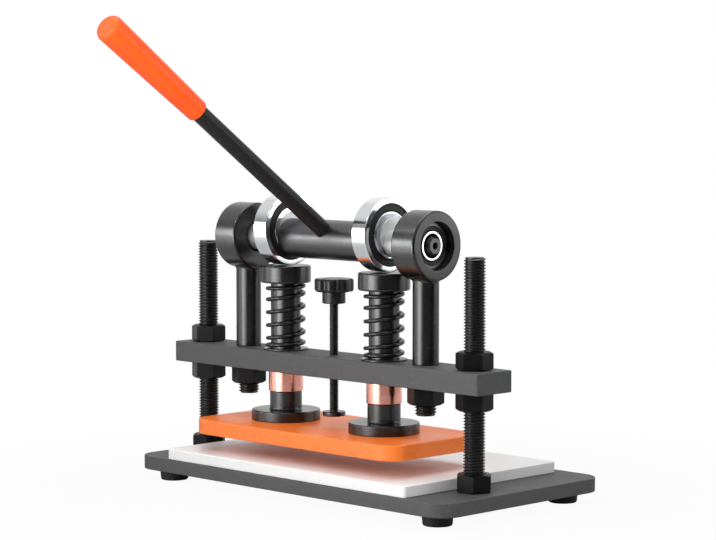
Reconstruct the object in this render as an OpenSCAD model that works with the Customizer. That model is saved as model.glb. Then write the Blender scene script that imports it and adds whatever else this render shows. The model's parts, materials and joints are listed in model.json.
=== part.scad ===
// Hand lever die press
// Two threaded columns on a base plate carry a cross beam. Two eye posts on the beam hold an
// eccentric shaft. The lever turns the shaft, whose two bearings roll on the caps of sprung
// plungers and push the press plate down towards the cutting board.
// The origin is on the table, under the middle of the base plate. X runs along the beam,
// Y runs away from the side that the lever rests on, and Z is up. Lengths are millimetres.

/* [Base] */
// Depth of the base plate, front to back
base_d = 200; // [175:5:220]
// Thickness of the base plate
base_t = 12; // [9:0.5:14]
// Corner radius of the base plate
base_corner_r = 20; // [8:1:30]
// Length of the base plate beyond each column axis
base_overhang = 26; // [15:1:35]
// Top diameter of a rubber foot
foot_d = 26; // [22:0.5:32]
// How much narrower a foot is at the table
foot_taper = 2; // [0.5:0.5:4]
// Height of a rubber foot
foot_h = 10; // [8:0.5:14]
// Distance of each foot's axis from the nearest end of the base plate
foot_inset = 27; // [20:0.5:34]
// Distance of each foot's axis from the nearest long edge of the base plate
foot_edge_inset = 23; // [20:0.5:34]
// Diameter of a foot screw
foot_screw_d = 5; // [4:0.5:6]
// Head diameter of a foot screw
foot_screw_head_d = 9; // [8:0.5:10.5]
// Head height of a foot screw
foot_screw_head_h = 3; // [2.5:0.1:4]
// Rubber left above the head of a foot screw
foot_web = 4; // [3:0.5:4.5]
// Depth that a foot screw reaches into the base plate
foot_screw_reach = 7; // [5:0.5:8]
// Room round the head of a foot screw in its recess
foot_recess_gap = 1.5; // [0.5:0.1:3]
// Key size of a foot screw, across the flats
foot_screw_key = 3; // [2:0.5:4]

/* [Cutting board] */
// Thickness of the cutting board
board_t = 9.5; // [6:0.5:14]
// Corner radius of the cutting board
board_corner_r = 3; // [2:0.5:20]
// Base plate left showing in front of the board
board_margin = 1; // [0.5:0.5:12]
// Base plate left showing behind the board
board_back_margin = 13; // [1:0.5:20]
// Gap between an end of the board and the nearest nut corner
board_nut_gap = 1.4; // [0.6:0.1:6]

/* [Columns] */
// Distance between the two column axes
column_span = 324; // [312:2:370]
// Distance of the columns from the front edge of the base plate
column_from_front = 65; // [55:1:80]
// Outer diameter of the column thread
column_d = 18; // [16:0.5:20]
// Height of the columns above the beam
column_reach = 91; // [80:1:120]
// Chamfer at the ends of columns and post stubs
thread_chamfer = 1.5; // [0.5:0.1:2.5]
// Width across the flats of a hexagon nut
nut_af = 27; // [24:0.5:30]
// Height of a hexagon nut
nut_h = 15; // [12:0.5:18]
// Chamfer at the corners of a hexagon nut
nut_chamfer = 1; // [0.4:0.1:1.6]
// Turn of the nuts on the beam
beam_nut_turn = -24; // [-30:1:30]
// Turn of the nuts on the base plate
base_nut_turn = 10; // [-30:1:30]

/* [Beam] */
// Depth of the beam, front to back
beam_d = 42; // [38:1:50]
// Thickness of the beam
beam_t = 18; // [15:0.5:22]
// Length of the beam beyond each column axis
beam_overhang = 22; // [18:1:30]
// Open height between the cutting board and the raised press plate
die_gap = 15.5; // [15:0.5:40]

/* [Posts] */
// Distance between the middles of the two posts
post_span = 216; // [204:2:236]
// Diameter of a post
post_d = 22; // [20.5:0.5:25]
// Diameter of the threaded stub of a post
stub_d = 18; // [16:0.5:19]
// Length of the stub below the beam
stub_below = 24; // [18:1:28]
// Height of the shaft axis above the beam
post_rise = 98; // [92:1:115]
// Outer diameter of the eye of a post
eye_d = 58; // [52:1:66]
// Width of the eye along the shaft
eye_w = 26; // [22:1:30]
// Chamfer round the eye
eye_chamfer = 2; // [0.5:0.5:4]
// Outer diameter of the bearing in an eye
eye_bearing_d = 40; // [36:0.5:44]
// Bore of the bearing in an eye
eye_bearing_bore = 17; // [15:0.5:19]
// Width of the bearing in an eye
eye_bearing_w = 12; // [10:0.5:14]
// Wall of the two rings of the eye bearing
eye_ring_t = 3.7; // [3.2:0.1:4.1]
// Depth of the eye bearing behind the outer face of the eye
eye_bearing_recess = 6; // [0.5:0.5:8]

/* [Eccentric shaft] */
// Diameter of the shaft between the rollers
shaft_d = 34; // [31:0.5:38]
// Throw of the eccentric, from the shaft axis to the roller axis
throw = 7; // [5:0.5:8]
// Diameter of the shaft between a roller and an eye
neck_d = 24; // [21:0.5:26]
// Length of the journal beyond a roller, which holds the circlip
journal_extra = 3.5; // [2.8:0.1:6]
// Length of the shaft that stands out of each eye bearing
shaft_proud = 3.5; // [0.2:0.1:5]
// Diameter of the centre hole in each end of the shaft
centre_hole_d = 5; // [3:0.5:6.5]
// Depth of the centre hole
centre_hole_depth = 7; // [4:0.5:10]

/* [Rollers] */
// Distance between the middles of the two rollers
roller_span = 120; // [112:2:130]
// Outer diameter of a roller bearing
roller_d = 62; // [58:0.5:66]
// Bore of a roller bearing
roller_bore = 30; // [27:0.5:32]
// Width of a roller bearing
roller_w = 16; // [13:0.5:18]
// Wall of the two rings of a roller bearing
roller_ring_t = 4.5; // [4:0.1:5.2]
// Thickness of the circlip beside a roller
circlip_t = 1.5; // [1:0.1:1.8]
// Radial height of the circlip
circlip_h = 4; // [2.5:0.1:4.4]
// Depth of the circlip's groove in the journal
circlip_groove = 1; // [0.6:0.1:1.5]

/* [Plungers] */
// Diameter of a plunger rod
rod_d = 26; // [24:0.5:28]
// Diameter of the cap that a roller pushes
cap_d = 44; // [42:0.5:50]
// Height of the cap
cap_h = 15; // [14:0.5:20]
// Depth of the rod's seat in the cap
cap_bore_depth = 11; // [6:0.5:12.5]
// Wall of the bronze guide bush
bush_wall = 2; // [1.5:0.1:3]
// Length of the bush below the beam
bush_drop = 18; // [12:1:26]
// Step from the rod out to the hub below the bush
hub_step = 1; // [0.5:0.1:1.8]
// Height of the hub
hub_h = 16; // [12:0.5:22]
// Diameter of the flange on the press plate
flange_d = 60; // [56:1:70]
// Thickness of the flange
flange_t = 9; // [8:0.5:13]
// Diameter of the rod's threaded tail in the hub
tail_d = 16; // [14:0.5:18]
// Length of the rod's threaded tail
tail_len = 20; // [12:0.5:21]
// Thickness of the washer under a spring
seat_t = 1.5; // [1:0.5:4]
// Rim of the washer outside the spring
seat_rim = 2; // [1:0.5:3]

/* [Springs] */
// Wire diameter of a spring
spring_wire = 3.5; // [2.5:0.1:4]
// Gap between a plunger rod and the spring round it
spring_rod_gap = 1; // [0.9:0.1:2]
// Number of open turns between the two closed end turns
spring_turns = 4; // [3:1:5]
// Gap between a closed end turn and the next turn
spring_end_gap = 0.8; // [0.6:0.1:1.5]

/* [Press plate] */
// Depth of the press plate, front to back
plate_d = 112; // [95:1:125]
// Thickness of the press plate
plate_t = 13; // [9.5:0.5:18]
// Corner radius of the press plate
plate_corner_r = 18; // [4:1:25]
// Gap between each end of the press plate and the column beside it
plate_column_gap = 30; // [20:1:42]
// Diameter of a plate screw
plate_screw_d = 6; // [5:0.5:7]
// Head diameter of a countersunk plate screw
plate_screw_head_d = 12; // [10.5:0.5:13]
// Diameter of the circle that the plate screws of one flange lie on
plate_screw_circle = 44; // [41:0.5:48]
// Depth that a plate screw reaches into the flange
plate_screw_reach = 6; // [4:0.5:7]
// Key size of a plate screw, across the flats
plate_screw_key = 4; // [3:0.5:4.5]
// Turn of the plate screws round their flange
plate_screw_turn = 45; // [0:5:90]

/* [Stop screw] */
// Diameter of the stop screw
stop_d = 8; // [6:0.5:10]
// Diameter of the disc at the foot of the stop screw
stop_foot_d = 19.5; // [16:0.5:26]
// Thickness of the foot disc
stop_foot_t = 4; // [3.5:0.5:7]
// Gap between the foot disc and the raised press plate
stop_foot_gap = 8.5; // [8:0.5:20]
// Diameter of the screw's pivot in the foot disc
stop_pivot_d = 5; // [3:0.5:5.5]
// Depth of the pivot in the foot disc
stop_pivot_depth = 2.5; // [1.5:0.5:3]
// Diameter of the knob over its lobes
knob_d = 34; // [30:1:44]
// Thickness of the knob
knob_t = 12; // [9:0.5:16]
// Number of lobes round the knob
knob_lobes = 7; // [5:1:9]
// Depth of the hollows between the lobes
knob_hollow = 2.5; // [1:0.1:3.5]
// Diameter of the hub under the knob
knob_hub_d = 20; // [16:0.5:22]
// Height of the hub under the knob
knob_hub_h = 10; // [6:0.5:14]
// Depth of the screw's seat in the knob, from the bottom of the hub
knob_bore_depth = 18; // [8:0.5:18]
// Gap between the knob and the shaft above it
knob_shaft_gap = 15; // [11:0.5:20]

/* [Lever] */
// Rise of the resting lever above the horizontal
lever_tilt = 35.7; // [20:0.1:60]
// Length of the lever from the shaft axis to the end of the grip
lever_len = 304; // [240:1:360]
// Diameter of the lever rod
lever_d = 14.5; // [13.5:0.5:16]
// Diameter of the lever's threaded end
lever_thread_d = 12; // [10:0.5:13]
// Distance from the shaft axis to the tip of the threaded end
lever_tip = 5; // [3:0.5:8]
// Depth of the flat seat for the lever in the shaft
lever_seat_depth = 2.5; // [2:0.1:4]
// Length of the grip
grip_len = 116; // [90:1:130]
// Diameter of the grip at its free end
grip_d = 23; // [21:0.5:28]
// Diameter of the grip where the rod enters
grip_neck_d = 18.5; // [17.5:0.5:20.5]
// Wall at the free end of the grip
grip_end_wall = 7; // [4:0.5:12]

/* [Edges] */
// Chamfer round a plunger cap
cap_chamfer = 1.5; // [0.5:0.1:3]
// Chamfer round the flanges and the stop screw's foot disc
disc_chamfer = 0.8; // [0.3:0.1:1.5]
// Chamfer round the knob
knob_chamfer = 1.5; // [0.5:0.1:3]
// Chamfer round a bearing's outer ring
bearing_chamfer = 0.7; // [0.3:0.1:1.2]
// Rounding of the grip where the rod enters
grip_lip_r = 1; // [0.4:0.1:1.3]
// Rounding of the grip's free end
grip_dome_r = 7; // [2:0.5:8]

/* [Fits] */
// Clearance all round a part that turns or slides in a bore
run_gap = 0.05; // [0.02:0.01:0.1]
// Clearance all round a part that is fixed in a bore
seat_gap = 0.04; // [0.02:0.01:0.08]
// Clearance round the columns in the beam
column_gap = 0.1; // [0.05:0.01:0.2]
// Clearance between a curved part and what it rolls on or rests on
touch_gap = 0.3; // [0.2:0.05:0.5]
// Depth of the hexagon sockets in the screws
socket_depth = 1.6; // [1:0.1:2]
// Depth of the ball grooves in the bearing rings
race_depth = 1.2; // [0.8:0.1:1.4]
// Clearance between a ball and its grooves
ball_gap = 0.1; // [0.05:0.01:0.15]
// Thickness of a bearing seal
seal_t = 1; // [0.6:0.1:1.3]
// Depth of a seal behind the face of its bearing
seal_recess = 0.6; // [0.4:0.1:0.9]
// Gap between a seal and the ring that turns past it
seal_gap = 0.3; // [0.2:0.05:0.5]
// Clearance between the shaft and the bores that it passes freely
neck_gap = 2; // [1:0.1:2.5]

/* [Hidden] */

$fn = 64;
// Overlap of a cutting shape past the face that it cuts
past = 1;

// Colours of the finishes
coat_grey = "#4b4d50";
black_oxide = "#1f2022";
rubber_black = "#161616";
board_white = "#f3f3f0";
plate_orange = "#ea6a1c";
grip_orange = "#e4561d";
bronze = "#b9743f";
bright_steel = "#c8cbcf";
dark_steel = "#55585c";

// Plan positions
base_w = column_span + 2 * base_overhang;
column_y = column_from_front - base_d / 2;
nut_ac = nut_af / cos(30);
board_w = column_span - nut_ac - 2 * board_nut_gap;
board_d = base_d - board_margin - board_back_margin;
board_y = (board_margin - board_back_margin) / 2;
beam_w = column_span + 2 * beam_overhang;
plate_w = column_span - column_d - 2 * plate_column_gap;
column_x = column_span / 2;
post_x = post_span / 2;
roller_x = roller_span / 2;

// Heights, from the table up
base_top = foot_h + base_t;
board_top = base_top + board_t;
plate_z = board_top + die_gap;
plate_top = plate_z + plate_t;
flange_top = plate_top + flange_t;
hub_top = flange_top + hub_h;
beam_z = hub_top + bush_drop;
beam_top = beam_z + beam_t;
column_top = beam_top + column_reach;
shaft_z = beam_top + post_rise;
roller_z = shaft_z + throw;
cap_top = roller_z - roller_d / 2 - touch_gap;
cap_z = cap_top - cap_h;
seat_top = beam_top + seat_t;
knob_top = shaft_z - shaft_d / 2 - knob_shaft_gap;
knob_z = knob_top - knob_t - knob_hub_h;
stop_foot_z = plate_top + stop_foot_gap;

// Places along the shaft, outwards from its middle
roller_inner_x = roller_x - roller_w / 2;
roller_outer_x = roller_x + roller_w / 2;
journal_end_x = roller_outer_x + journal_extra;
eye_inner_x = post_x - eye_w / 2;
eye_outer_x = post_x + eye_w / 2;
eye_bearing_outer_x = eye_outer_x - eye_bearing_recess;
eye_bearing_inner_x = eye_bearing_outer_x - eye_bearing_w;
shaft_end_x = eye_bearing_outer_x + shaft_proud;
lever_seat = shaft_d / 2 - lever_seat_depth;

// Diameters that follow from what they fit
bush_d = rod_d + 2 * bush_wall;
hub_d = rod_d + 2 * hub_step;
spring_d = rod_d + 2 * spring_rod_gap + 2 * spring_wire;
seat_d = spring_d + 2 * seat_rim;
foot_recess_d = foot_screw_head_d + 2 * foot_recess_gap;

// Counts
eye_ball_count = 8;
roller_ball_count = 9;
screws_per_flange = 4;
spring_rings = 8;
wire_sides = 6;
// Closed turns at each end of a spring
end_turns = 1;

// Balls and grooves of a bearing
function pitch_r(od, bore) = (od + bore) / 4;
function ball_r(od, bore, ring_t) = (od - bore) / 4 - ring_t + race_depth - ball_gap;

// Path of a spring's wire: two closed end turns with the open turns between them
wire_r = spring_wire / 2;
wire_half_h = wire_r * sin(60);
spring_len = cap_z - seat_top;
end_pitch = spring_wire + spring_end_gap;
wire_start_z = wire_half_h + touch_gap;
open_pitch = (spring_len - 2 * wire_start_z - 2 * end_turns * end_pitch) / spring_turns;
spring_all_turns = spring_turns + 2 * end_turns;
// The corners of each turn lie outside the mean radius and the middles of its sides inside it
wire_path_r = (spring_d - spring_wire) / (1 + cos(180 / spring_rings));
// The wire starts and ends at the back of the plunger, on its left
wire_start_angle = 150;

function wire_rise(turn) =
    wire_start_z
    + end_pitch * min(turn, end_turns)
    + open_pitch * min(max(turn - end_turns, 0), spring_turns)
    + end_pitch * max(turn - end_turns - spring_turns, 0);
function wire_angle(turn) = wire_start_angle + 360 * turn;
function wire_radial(turn) = [cos(wire_angle(turn)), sin(wire_angle(turn)), 0];
function wire_point(turn) = wire_path_r * wire_radial(turn) + [0, 0, wire_rise(turn)];
function unit(v) = v / norm(v);
function wire_tangent(turn) =
    let (step = 0.5 / spring_rings)
    unit(wire_point(min(turn + step, spring_all_turns)) - wire_point(max(turn - step, 0)));
// The end tangents lie level, so that the straight ends stay off the next turn
function end_tangent(turn) = [-sin(wire_angle(turn)), cos(wire_angle(turn)), 0];
function wire_ring(centre, radial, tangent) =
    let (up = unit(cross(radial, tangent)))
    [for (k = [0 : wire_sides - 1])
        centre + wire_r * (cos(360 * k / wire_sides) * radial + sin(360 * k / wire_sides) * up)];

// Rings of points along the wire, with a straight end one wire diameter long at each end
wire_rings = concat(
    [wire_ring(wire_point(0) - spring_wire * end_tangent(0), wire_radial(0), end_tangent(0))],
    [for (i = [0 : spring_all_turns * spring_rings])
        let (turn = i / spring_rings)
        wire_ring(wire_point(turn), wire_radial(turn), wire_tangent(turn))],
    [wire_ring(wire_point(spring_all_turns) + spring_wire * end_tangent(spring_all_turns),
        wire_radial(spring_all_turns), end_tangent(spring_all_turns))]
);

// Least distance between points of the wire's surface that lie half a turn or more apart
function least_wire_gap() =
    min([for (i = [0 : len(wire_rings) - 1])
        for (j = [i + spring_rings / 2 : 1 : len(wire_rings) - 1])
            for (p = wire_rings[i])
                for (q = wire_rings[j]) norm(p - q)]);

// Shared shapes

module rounded_plate(w, d, t, r) {
    linear_extrude(t) {
        square([w - 2 * r, d], center = true);
        square([w, d - 2 * r], center = true);
        for (x = [-1, 1], y = [-1, 1]) translate([x * (w / 2 - r), y * (d / 2 - r)]) circle(r);
    }
}

module tube(od, id, h) {
    difference() {
        cylinder(d = od, h = h);
        translate([0, 0, -past]) cylinder(d = id, h = h + 2 * past);
    }
}

// A round bar with a chamfer at both ends
module chamfered_bar(d, h, c) {
    rotate_extrude() polygon([[0, 0], [d / 2 - c, 0], [d / 2, c], [d / 2, h - c], [d / 2 - c, h], [0, h]]);
}

module hex_nut(bore, turn) {
    difference() {
        intersection() {
            rotate([0, 0, turn]) cylinder(d = nut_ac, h = nut_h, $fn = 6);
            chamfered_bar(nut_ac, nut_h, nut_chamfer);
        }
        translate([0, 0, -past]) cylinder(d = bore, h = nut_h + 2 * past);
    }
}

// Hexagon socket in the bottom face of a screw's head
module key_socket(key) {
    translate([0, 0, -past]) cylinder(d = key / cos(30), h = past + socket_depth, $fn = 6);
}

// Places children on the shaft axis or the roller axis, with their +Z outwards on one side
module on_shaft(side, x, lift = 0) {
    mirror([side < 0 ? 1 : 0, 0, 0])
        translate([x, column_y, shaft_z + lift]) rotate([0, 90, 0]) children();
}

module at_columns(z) {
    for (side = [-1, 1]) translate([side * column_x, column_y, z]) children();
}

module at_plunger(side, z) {
    translate([side * roller_x, column_y, z]) children();
}

// Bearings, standing on their inner face

module ball_groove(od, bore, w, ring_t) {
    translate([0, 0, w / 2])
        rotate_extrude() translate([pitch_r(od, bore), 0]) circle(ball_r(od, bore, ring_t) + ball_gap);
}

module bearing_outer_ring(od, bore, w, ring_t) {
    c = bearing_chamfer;
    difference() {
        rotate_extrude() polygon([
            [od / 2 - ring_t, 0], [od / 2 - c, 0], [od / 2, c],
            [od / 2, w - c], [od / 2 - c, w], [od / 2 - ring_t, w]]);
        ball_groove(od, bore, w, ring_t);
    }
}

module bearing_inner_ring(od, bore, w, ring_t) {
    difference() {
        tube(bore + 2 * ring_t, bore, w);
        ball_groove(od, bore, w, ring_t);
    }
}

module bearing_balls(od, bore, w, ring_t, count) {
    for (i = [0 : count - 1]) rotate([0, 0, 360 * i / count])
        translate([pitch_r(od, bore), 0, w / 2]) sphere(ball_r(od, bore, ring_t));
}

module bearing_seals(od, bore, w, ring_t) {
    for (z = [seal_recess, w - seal_recess - seal_t])
        translate([0, 0, z])
            tube(od - 2 * ring_t - 2 * seat_gap, bore + 2 * ring_t + 2 * seal_gap, seal_t);
}

// Base

module at_foot(side, end) {
    translate([side * (base_w / 2 - foot_inset), end * (base_d / 2 - foot_edge_inset), 0]) children();
}

module base_plate() {
    color(coat_grey) difference() {
        translate([0, 0, foot_h]) rounded_plate(base_w, base_d, base_t, base_corner_r);
        at_columns(foot_h - past) cylinder(d = column_d + 2 * seat_gap, h = base_t + 2 * past);
        for (side = [-1, 1], end = [-1, 1]) at_foot(side, end)
            translate([0, 0, foot_h - past])
                cylinder(d = foot_screw_d + 2 * seat_gap, h = foot_screw_reach + seat_gap + past);
    }
}

module foot(side, end) {
    recess = foot_h - foot_web;
    color(rubber_black) at_foot(side, end) difference() {
        cylinder(d1 = foot_d - foot_taper, d2 = foot_d, h = foot_h);
        translate([0, 0, -past]) cylinder(d = foot_recess_d, h = recess + past);
        cylinder(d = foot_screw_d + 2 * seat_gap, h = foot_h + past);
    }
}

module foot_screws() {
    head_z = foot_h - foot_web - foot_screw_head_h;
    shank = foot_web + foot_screw_reach;
    color(dark_steel) for (side = [-1, 1], end = [-1, 1]) at_foot(side, end)
        translate([0, 0, head_z]) difference() {
            union() {
                cylinder(d = foot_screw_head_d, h = foot_screw_head_h);
                cylinder(d = foot_screw_d, h = foot_screw_head_h + shank);
            }
            key_socket(foot_screw_key);
        }
}

module cutting_board() {
    color(board_white) translate([0, board_y, base_top])
        rounded_plate(board_w, board_d, board_t, board_corner_r);
}

module column(side) {
    color(black_oxide) translate([side * column_x, column_y, foot_h])
        chamfered_bar(column_d, column_top - foot_h, thread_chamfer);
}

module base_nuts() {
    color(black_oxide) at_columns(base_top) hex_nut(column_d + 2 * seat_gap, base_nut_turn);
}

// Beam and what is fixed to it

module beam() {
    color(coat_grey) difference() {
        translate([-beam_w / 2, column_y - beam_d / 2, beam_z]) cube([beam_w, beam_d, beam_t]);
        at_columns(beam_z - past) cylinder(d = column_d + 2 * column_gap, h = beam_t + 2 * past);
        for (side = [-1, 1]) {
            translate([side * post_x, column_y, beam_z - past])
                cylinder(d = stub_d + 2 * seat_gap, h = beam_t + 2 * past);
            at_plunger(side, beam_z - past) cylinder(d = bush_d + 2 * seat_gap, h = beam_t + 2 * past);
        }
        translate([0, column_y, beam_z - past]) cylinder(d = stop_d + 2 * run_gap, h = beam_t + 2 * past);
    }
}

module upper_nuts() {
    color(black_oxide) at_columns(beam_top) hex_nut(column_d + 2 * column_gap, beam_nut_turn);
}

module lower_nuts() {
    color(black_oxide) at_columns(beam_z - nut_h) hex_nut(column_d + 2 * column_gap, beam_nut_turn);
}

module post(side) {
    stub_z = beam_z - stub_below;
    color(black_oxide) difference() {
        union() {
            on_shaft(side, eye_inner_x) chamfered_bar(eye_d, eye_w, eye_chamfer);
            translate([side * post_x, column_y, beam_top]) cylinder(d = post_d, h = post_rise);
            translate([side * post_x, column_y, stub_z])
                chamfered_bar(stub_d, beam_top - stub_z + thread_chamfer, thread_chamfer);
        }
        on_shaft(side, eye_inner_x - past) cylinder(d = neck_d + 2 * neck_gap, h = eye_w);
        on_shaft(side, eye_bearing_inner_x)
            cylinder(d = eye_bearing_d + 2 * seat_gap, h = eye_bearing_w + eye_bearing_recess + past);
    }
}

module post_nuts() {
    color(black_oxide) for (side = [-1, 1])
        translate([side * post_x, column_y, beam_z - nut_h]) hex_nut(stub_d + 2 * seat_gap, beam_nut_turn);
}

module bush(side) {
    color(bronze) at_plunger(side, beam_z - bush_drop) tube(bush_d, rod_d + 2 * run_gap, bush_drop + beam_t);
}

module spring_seat(side) {
    color(black_oxide) at_plunger(side, beam_top) tube(seat_d, rod_d + 2 * touch_gap, seat_t);
}

module spring(side) {
    echo(str("least gap of a spring to itself: ", least_wire_gap(), " mm"));
    last = len(wire_rings) - 1;
    sides = wire_sides;
    side_faces = [for (i = [0 : last - 1]) for (k = [0 : sides - 1])
        let (a = i * sides + k, b = i * sides + (k + 1) % sides)
        each [[a, a + sides, b], [b, a + sides, b + sides]]];
    start_faces = [for (k = [1 : sides - 2]) [0, k, k + 1]];
    first_of_last = last * sides;
    end_faces = [for (k = [1 : sides - 2])
        [first_of_last, first_of_last + k + 1, first_of_last + k]];
    color(black_oxide) at_plunger(side, seat_top)
        polyhedron([for (ring = wire_rings) each ring], concat(side_faces, start_faces, end_faces));
}

module eye_outer_ring(side) {
    color(bright_steel) on_shaft(side, eye_bearing_inner_x)
        bearing_outer_ring(eye_bearing_d, eye_bearing_bore, eye_bearing_w, eye_ring_t);
}

module eye_balls(side) {
    color(bright_steel) on_shaft(side, eye_bearing_inner_x)
        bearing_balls(eye_bearing_d, eye_bearing_bore, eye_bearing_w, eye_ring_t, eye_ball_count);
}

module eye_seals(side) {
    color(rubber_black) on_shaft(side, eye_bearing_inner_x)
        bearing_seals(eye_bearing_d, eye_bearing_bore, eye_bearing_w, eye_ring_t);
}

// Eccentric shaft and what turns with it

// Children point along the lever, from the shaft axis
module along_lever() {
    translate([0, column_y, shaft_z]) rotate([90 - lever_tilt, 0, 0]) children();
}

module half_shaft(side) {
    on_shaft(side, 0) difference() {
        union() {
            cylinder(d = shaft_d, h = roller_inner_x);
            translate([0, 0, journal_end_x]) cylinder(d = neck_d, h = eye_bearing_inner_x - journal_end_x);
            translate([0, 0, eye_bearing_inner_x])
                cylinder(d = eye_bearing_bore - 2 * seat_gap, h = shaft_end_x - eye_bearing_inner_x);
        }
        translate([0, 0, shaft_end_x - centre_hole_depth])
            cylinder(d = centre_hole_d, h = centre_hole_depth + past);
    }
    on_shaft(side, roller_inner_x, throw) difference() {
        cylinder(d = roller_bore - 2 * seat_gap, h = roller_w + journal_extra);
        translate([0, 0, roller_w]) tube(
            roller_bore + past, roller_bore - 2 * circlip_groove, circlip_t + 2 * seat_gap);
    }
}

module eccentric_shaft() {
    color(dark_steel) difference() {
        union() {
            half_shaft(-1);
            half_shaft(1);
        }
        along_lever() {
            translate([0, 0, lever_tip - seat_gap]) cylinder(d = lever_thread_d + 2 * seat_gap, h = shaft_d);
            translate([0, 0, lever_seat]) cylinder(d = lever_d + 2 * touch_gap, h = shaft_d);
        }
    }
}

module eye_inner_ring(side) {
    color(bright_steel) on_shaft(side, eye_bearing_inner_x)
        bearing_inner_ring(eye_bearing_d, eye_bearing_bore, eye_bearing_w, eye_ring_t);
}

module roller_inner_ring(side) {
    color(bright_steel) on_shaft(side, roller_inner_x, throw)
        bearing_inner_ring(roller_d, roller_bore, roller_w, roller_ring_t);
}

module roller_circlips() {
    bore = roller_bore - 2 * circlip_groove + 2 * seat_gap;
    color(dark_steel) for (side = [-1, 1])
        on_shaft(side, roller_outer_x + seat_gap, throw) difference() {
            tube(bore + 2 * circlip_h, bore, circlip_t);
            translate([-circlip_h, 0, -past]) cube([2 * circlip_h, roller_bore, circlip_t + 2 * past]);
        }
}

module lever_rod() {
    rod_end = lever_len - grip_end_wall;
    color(black_oxide) along_lever() {
        translate([0, 0, lever_tip]) cylinder(d = lever_thread_d, h = lever_seat - lever_tip + past);
        translate([0, 0, lever_seat]) cylinder(d = lever_d, h = rod_end - lever_seat);
    }
}

// Outline of the grip: a slow taper, a rounded lip where the rod enters and a domed free end
function grip_outline() =
    let (lip = grip_lip_r, dome = grip_dome_r, start = lever_len - grip_len)
    concat(
        [[0, start]],
        [for (a = [-90 : 15 : 0]) [grip_neck_d / 2 - lip + lip * cos(a), start + lip + lip * sin(a)]],
        [for (a = [0 : 15 : 90]) [grip_d / 2 - dome + dome * cos(a), lever_len - dome + dome * sin(a)]],
        [[0, lever_len]]
    );

module lever_grip() {
    color(grip_orange) along_lever() difference() {
        rotate_extrude() polygon(grip_outline());
        translate([0, 0, lever_len - grip_len - past])
            cylinder(d = lever_d + 2 * seat_gap, h = grip_len - grip_end_wall + past);
    }
}

// Rollers

module roller_outer_ring(side) {
    color(bright_steel) on_shaft(side, roller_inner_x, throw)
        bearing_outer_ring(roller_d, roller_bore, roller_w, roller_ring_t);
}

module roller_balls(side) {
    color(bright_steel) on_shaft(side, roller_inner_x, throw)
        bearing_balls(roller_d, roller_bore, roller_w, roller_ring_t, roller_ball_count);
}

module roller_seals(side) {
    color(rubber_black) on_shaft(side, roller_inner_x, throw)
        bearing_seals(roller_d, roller_bore, roller_w, roller_ring_t);
}

// Plungers and press plate

module plunger_rod(side) {
    color(black_oxide) at_plunger(side, hub_top) {
        cylinder(d = rod_d, h = cap_z + cap_bore_depth - hub_top);
        translate([0, 0, -tail_len]) cylinder(d = tail_d, h = tail_len + past);
    }
}

module cap(side) {
    color(black_oxide) at_plunger(side, cap_z) difference() {
        chamfered_bar(cap_d, cap_h, cap_chamfer);
        translate([0, 0, -past]) cylinder(d = rod_d + 2 * seat_gap, h = cap_bore_depth + past);
    }
}

module at_plate_screws(side, z) {
    at_plunger(side, z) for (i = [0 : screws_per_flange - 1])
        rotate([0, 0, plate_screw_turn + 360 * i / screws_per_flange])
            translate([plate_screw_circle / 2, 0, 0]) children();
}

module flange(side) {
    color(black_oxide) difference() {
        at_plunger(side, plate_top) {
            chamfered_bar(flange_d, flange_t, disc_chamfer);
            cylinder(d = hub_d, h = flange_t + hub_h);
        }
        at_plunger(side, hub_top - tail_len - seat_gap)
            cylinder(d = tail_d + 2 * seat_gap, h = tail_len + seat_gap + past);
        at_plate_screws(side, plate_top - past)
            cylinder(d = plate_screw_d + 2 * seat_gap, h = plate_screw_reach + seat_gap + past);
    }
}

// A countersunk screw, head down, with a clearance all round it
module countersunk(gap) {
    head_h = (plate_screw_head_d - plate_screw_d) / 2;
    rotate_extrude() polygon([
        [0, 0], [plate_screw_head_d / 2 + gap, 0], [plate_screw_d / 2 + gap, head_h],
        [plate_screw_d / 2 + gap, plate_t + plate_screw_reach], [0, plate_t + plate_screw_reach]]);
}

module plate_screws() {
    color(dark_steel) for (side = [-1, 1]) at_plate_screws(side, plate_z) difference() {
        countersunk(0);
        key_socket(plate_screw_key);
    }
}

module press_plate() {
    color(plate_orange) difference() {
        translate([0, column_y, plate_z]) rounded_plate(plate_w, plate_d, plate_t, plate_corner_r);
        for (side = [-1, 1]) at_plate_screws(side, plate_z) countersunk(seat_gap);
    }
}

// Stop screw

module stop_screw() {
    screw_z = stop_foot_z + stop_foot_t;
    color(black_oxide) translate([0, column_y, 0]) {
        translate([0, 0, screw_z]) cylinder(d = stop_d, h = knob_z + knob_bore_depth - screw_z);
        translate([0, 0, screw_z - stop_pivot_depth]) cylinder(d = stop_pivot_d, h = stop_pivot_depth + past);
    }
}

module stop_knob() {
    hollow_r = knob_d * PI / knob_lobes / 4;
    color(black_oxide) translate([0, column_y, knob_z]) difference() {
        union() {
            cylinder(d = knob_hub_d, h = knob_hub_h + past);
            translate([0, 0, knob_hub_h]) chamfered_bar(knob_d, knob_t, knob_chamfer);
        }
        for (i = [0 : knob_lobes - 1]) rotate([0, 0, 360 * (i + 0.5) / knob_lobes])
            translate([knob_d / 2 + hollow_r - knob_hollow, 0, knob_hub_h - past])
                cylinder(r = hollow_r, h = knob_t + 2 * past);
        translate([0, 0, -past]) cylinder(d = stop_d + 2 * seat_gap, h = knob_bore_depth + past);
    }
}

module stop_foot() {
    color(black_oxide) translate([0, column_y, stop_foot_z]) difference() {
        chamfered_bar(stop_foot_d, stop_foot_t, disc_chamfer);
        translate([0, 0, stop_foot_t - stop_pivot_depth - run_gap])
            cylinder(d = stop_pivot_d + 2 * run_gap, h = stop_pivot_depth + run_gap + past);
    }
}

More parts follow.
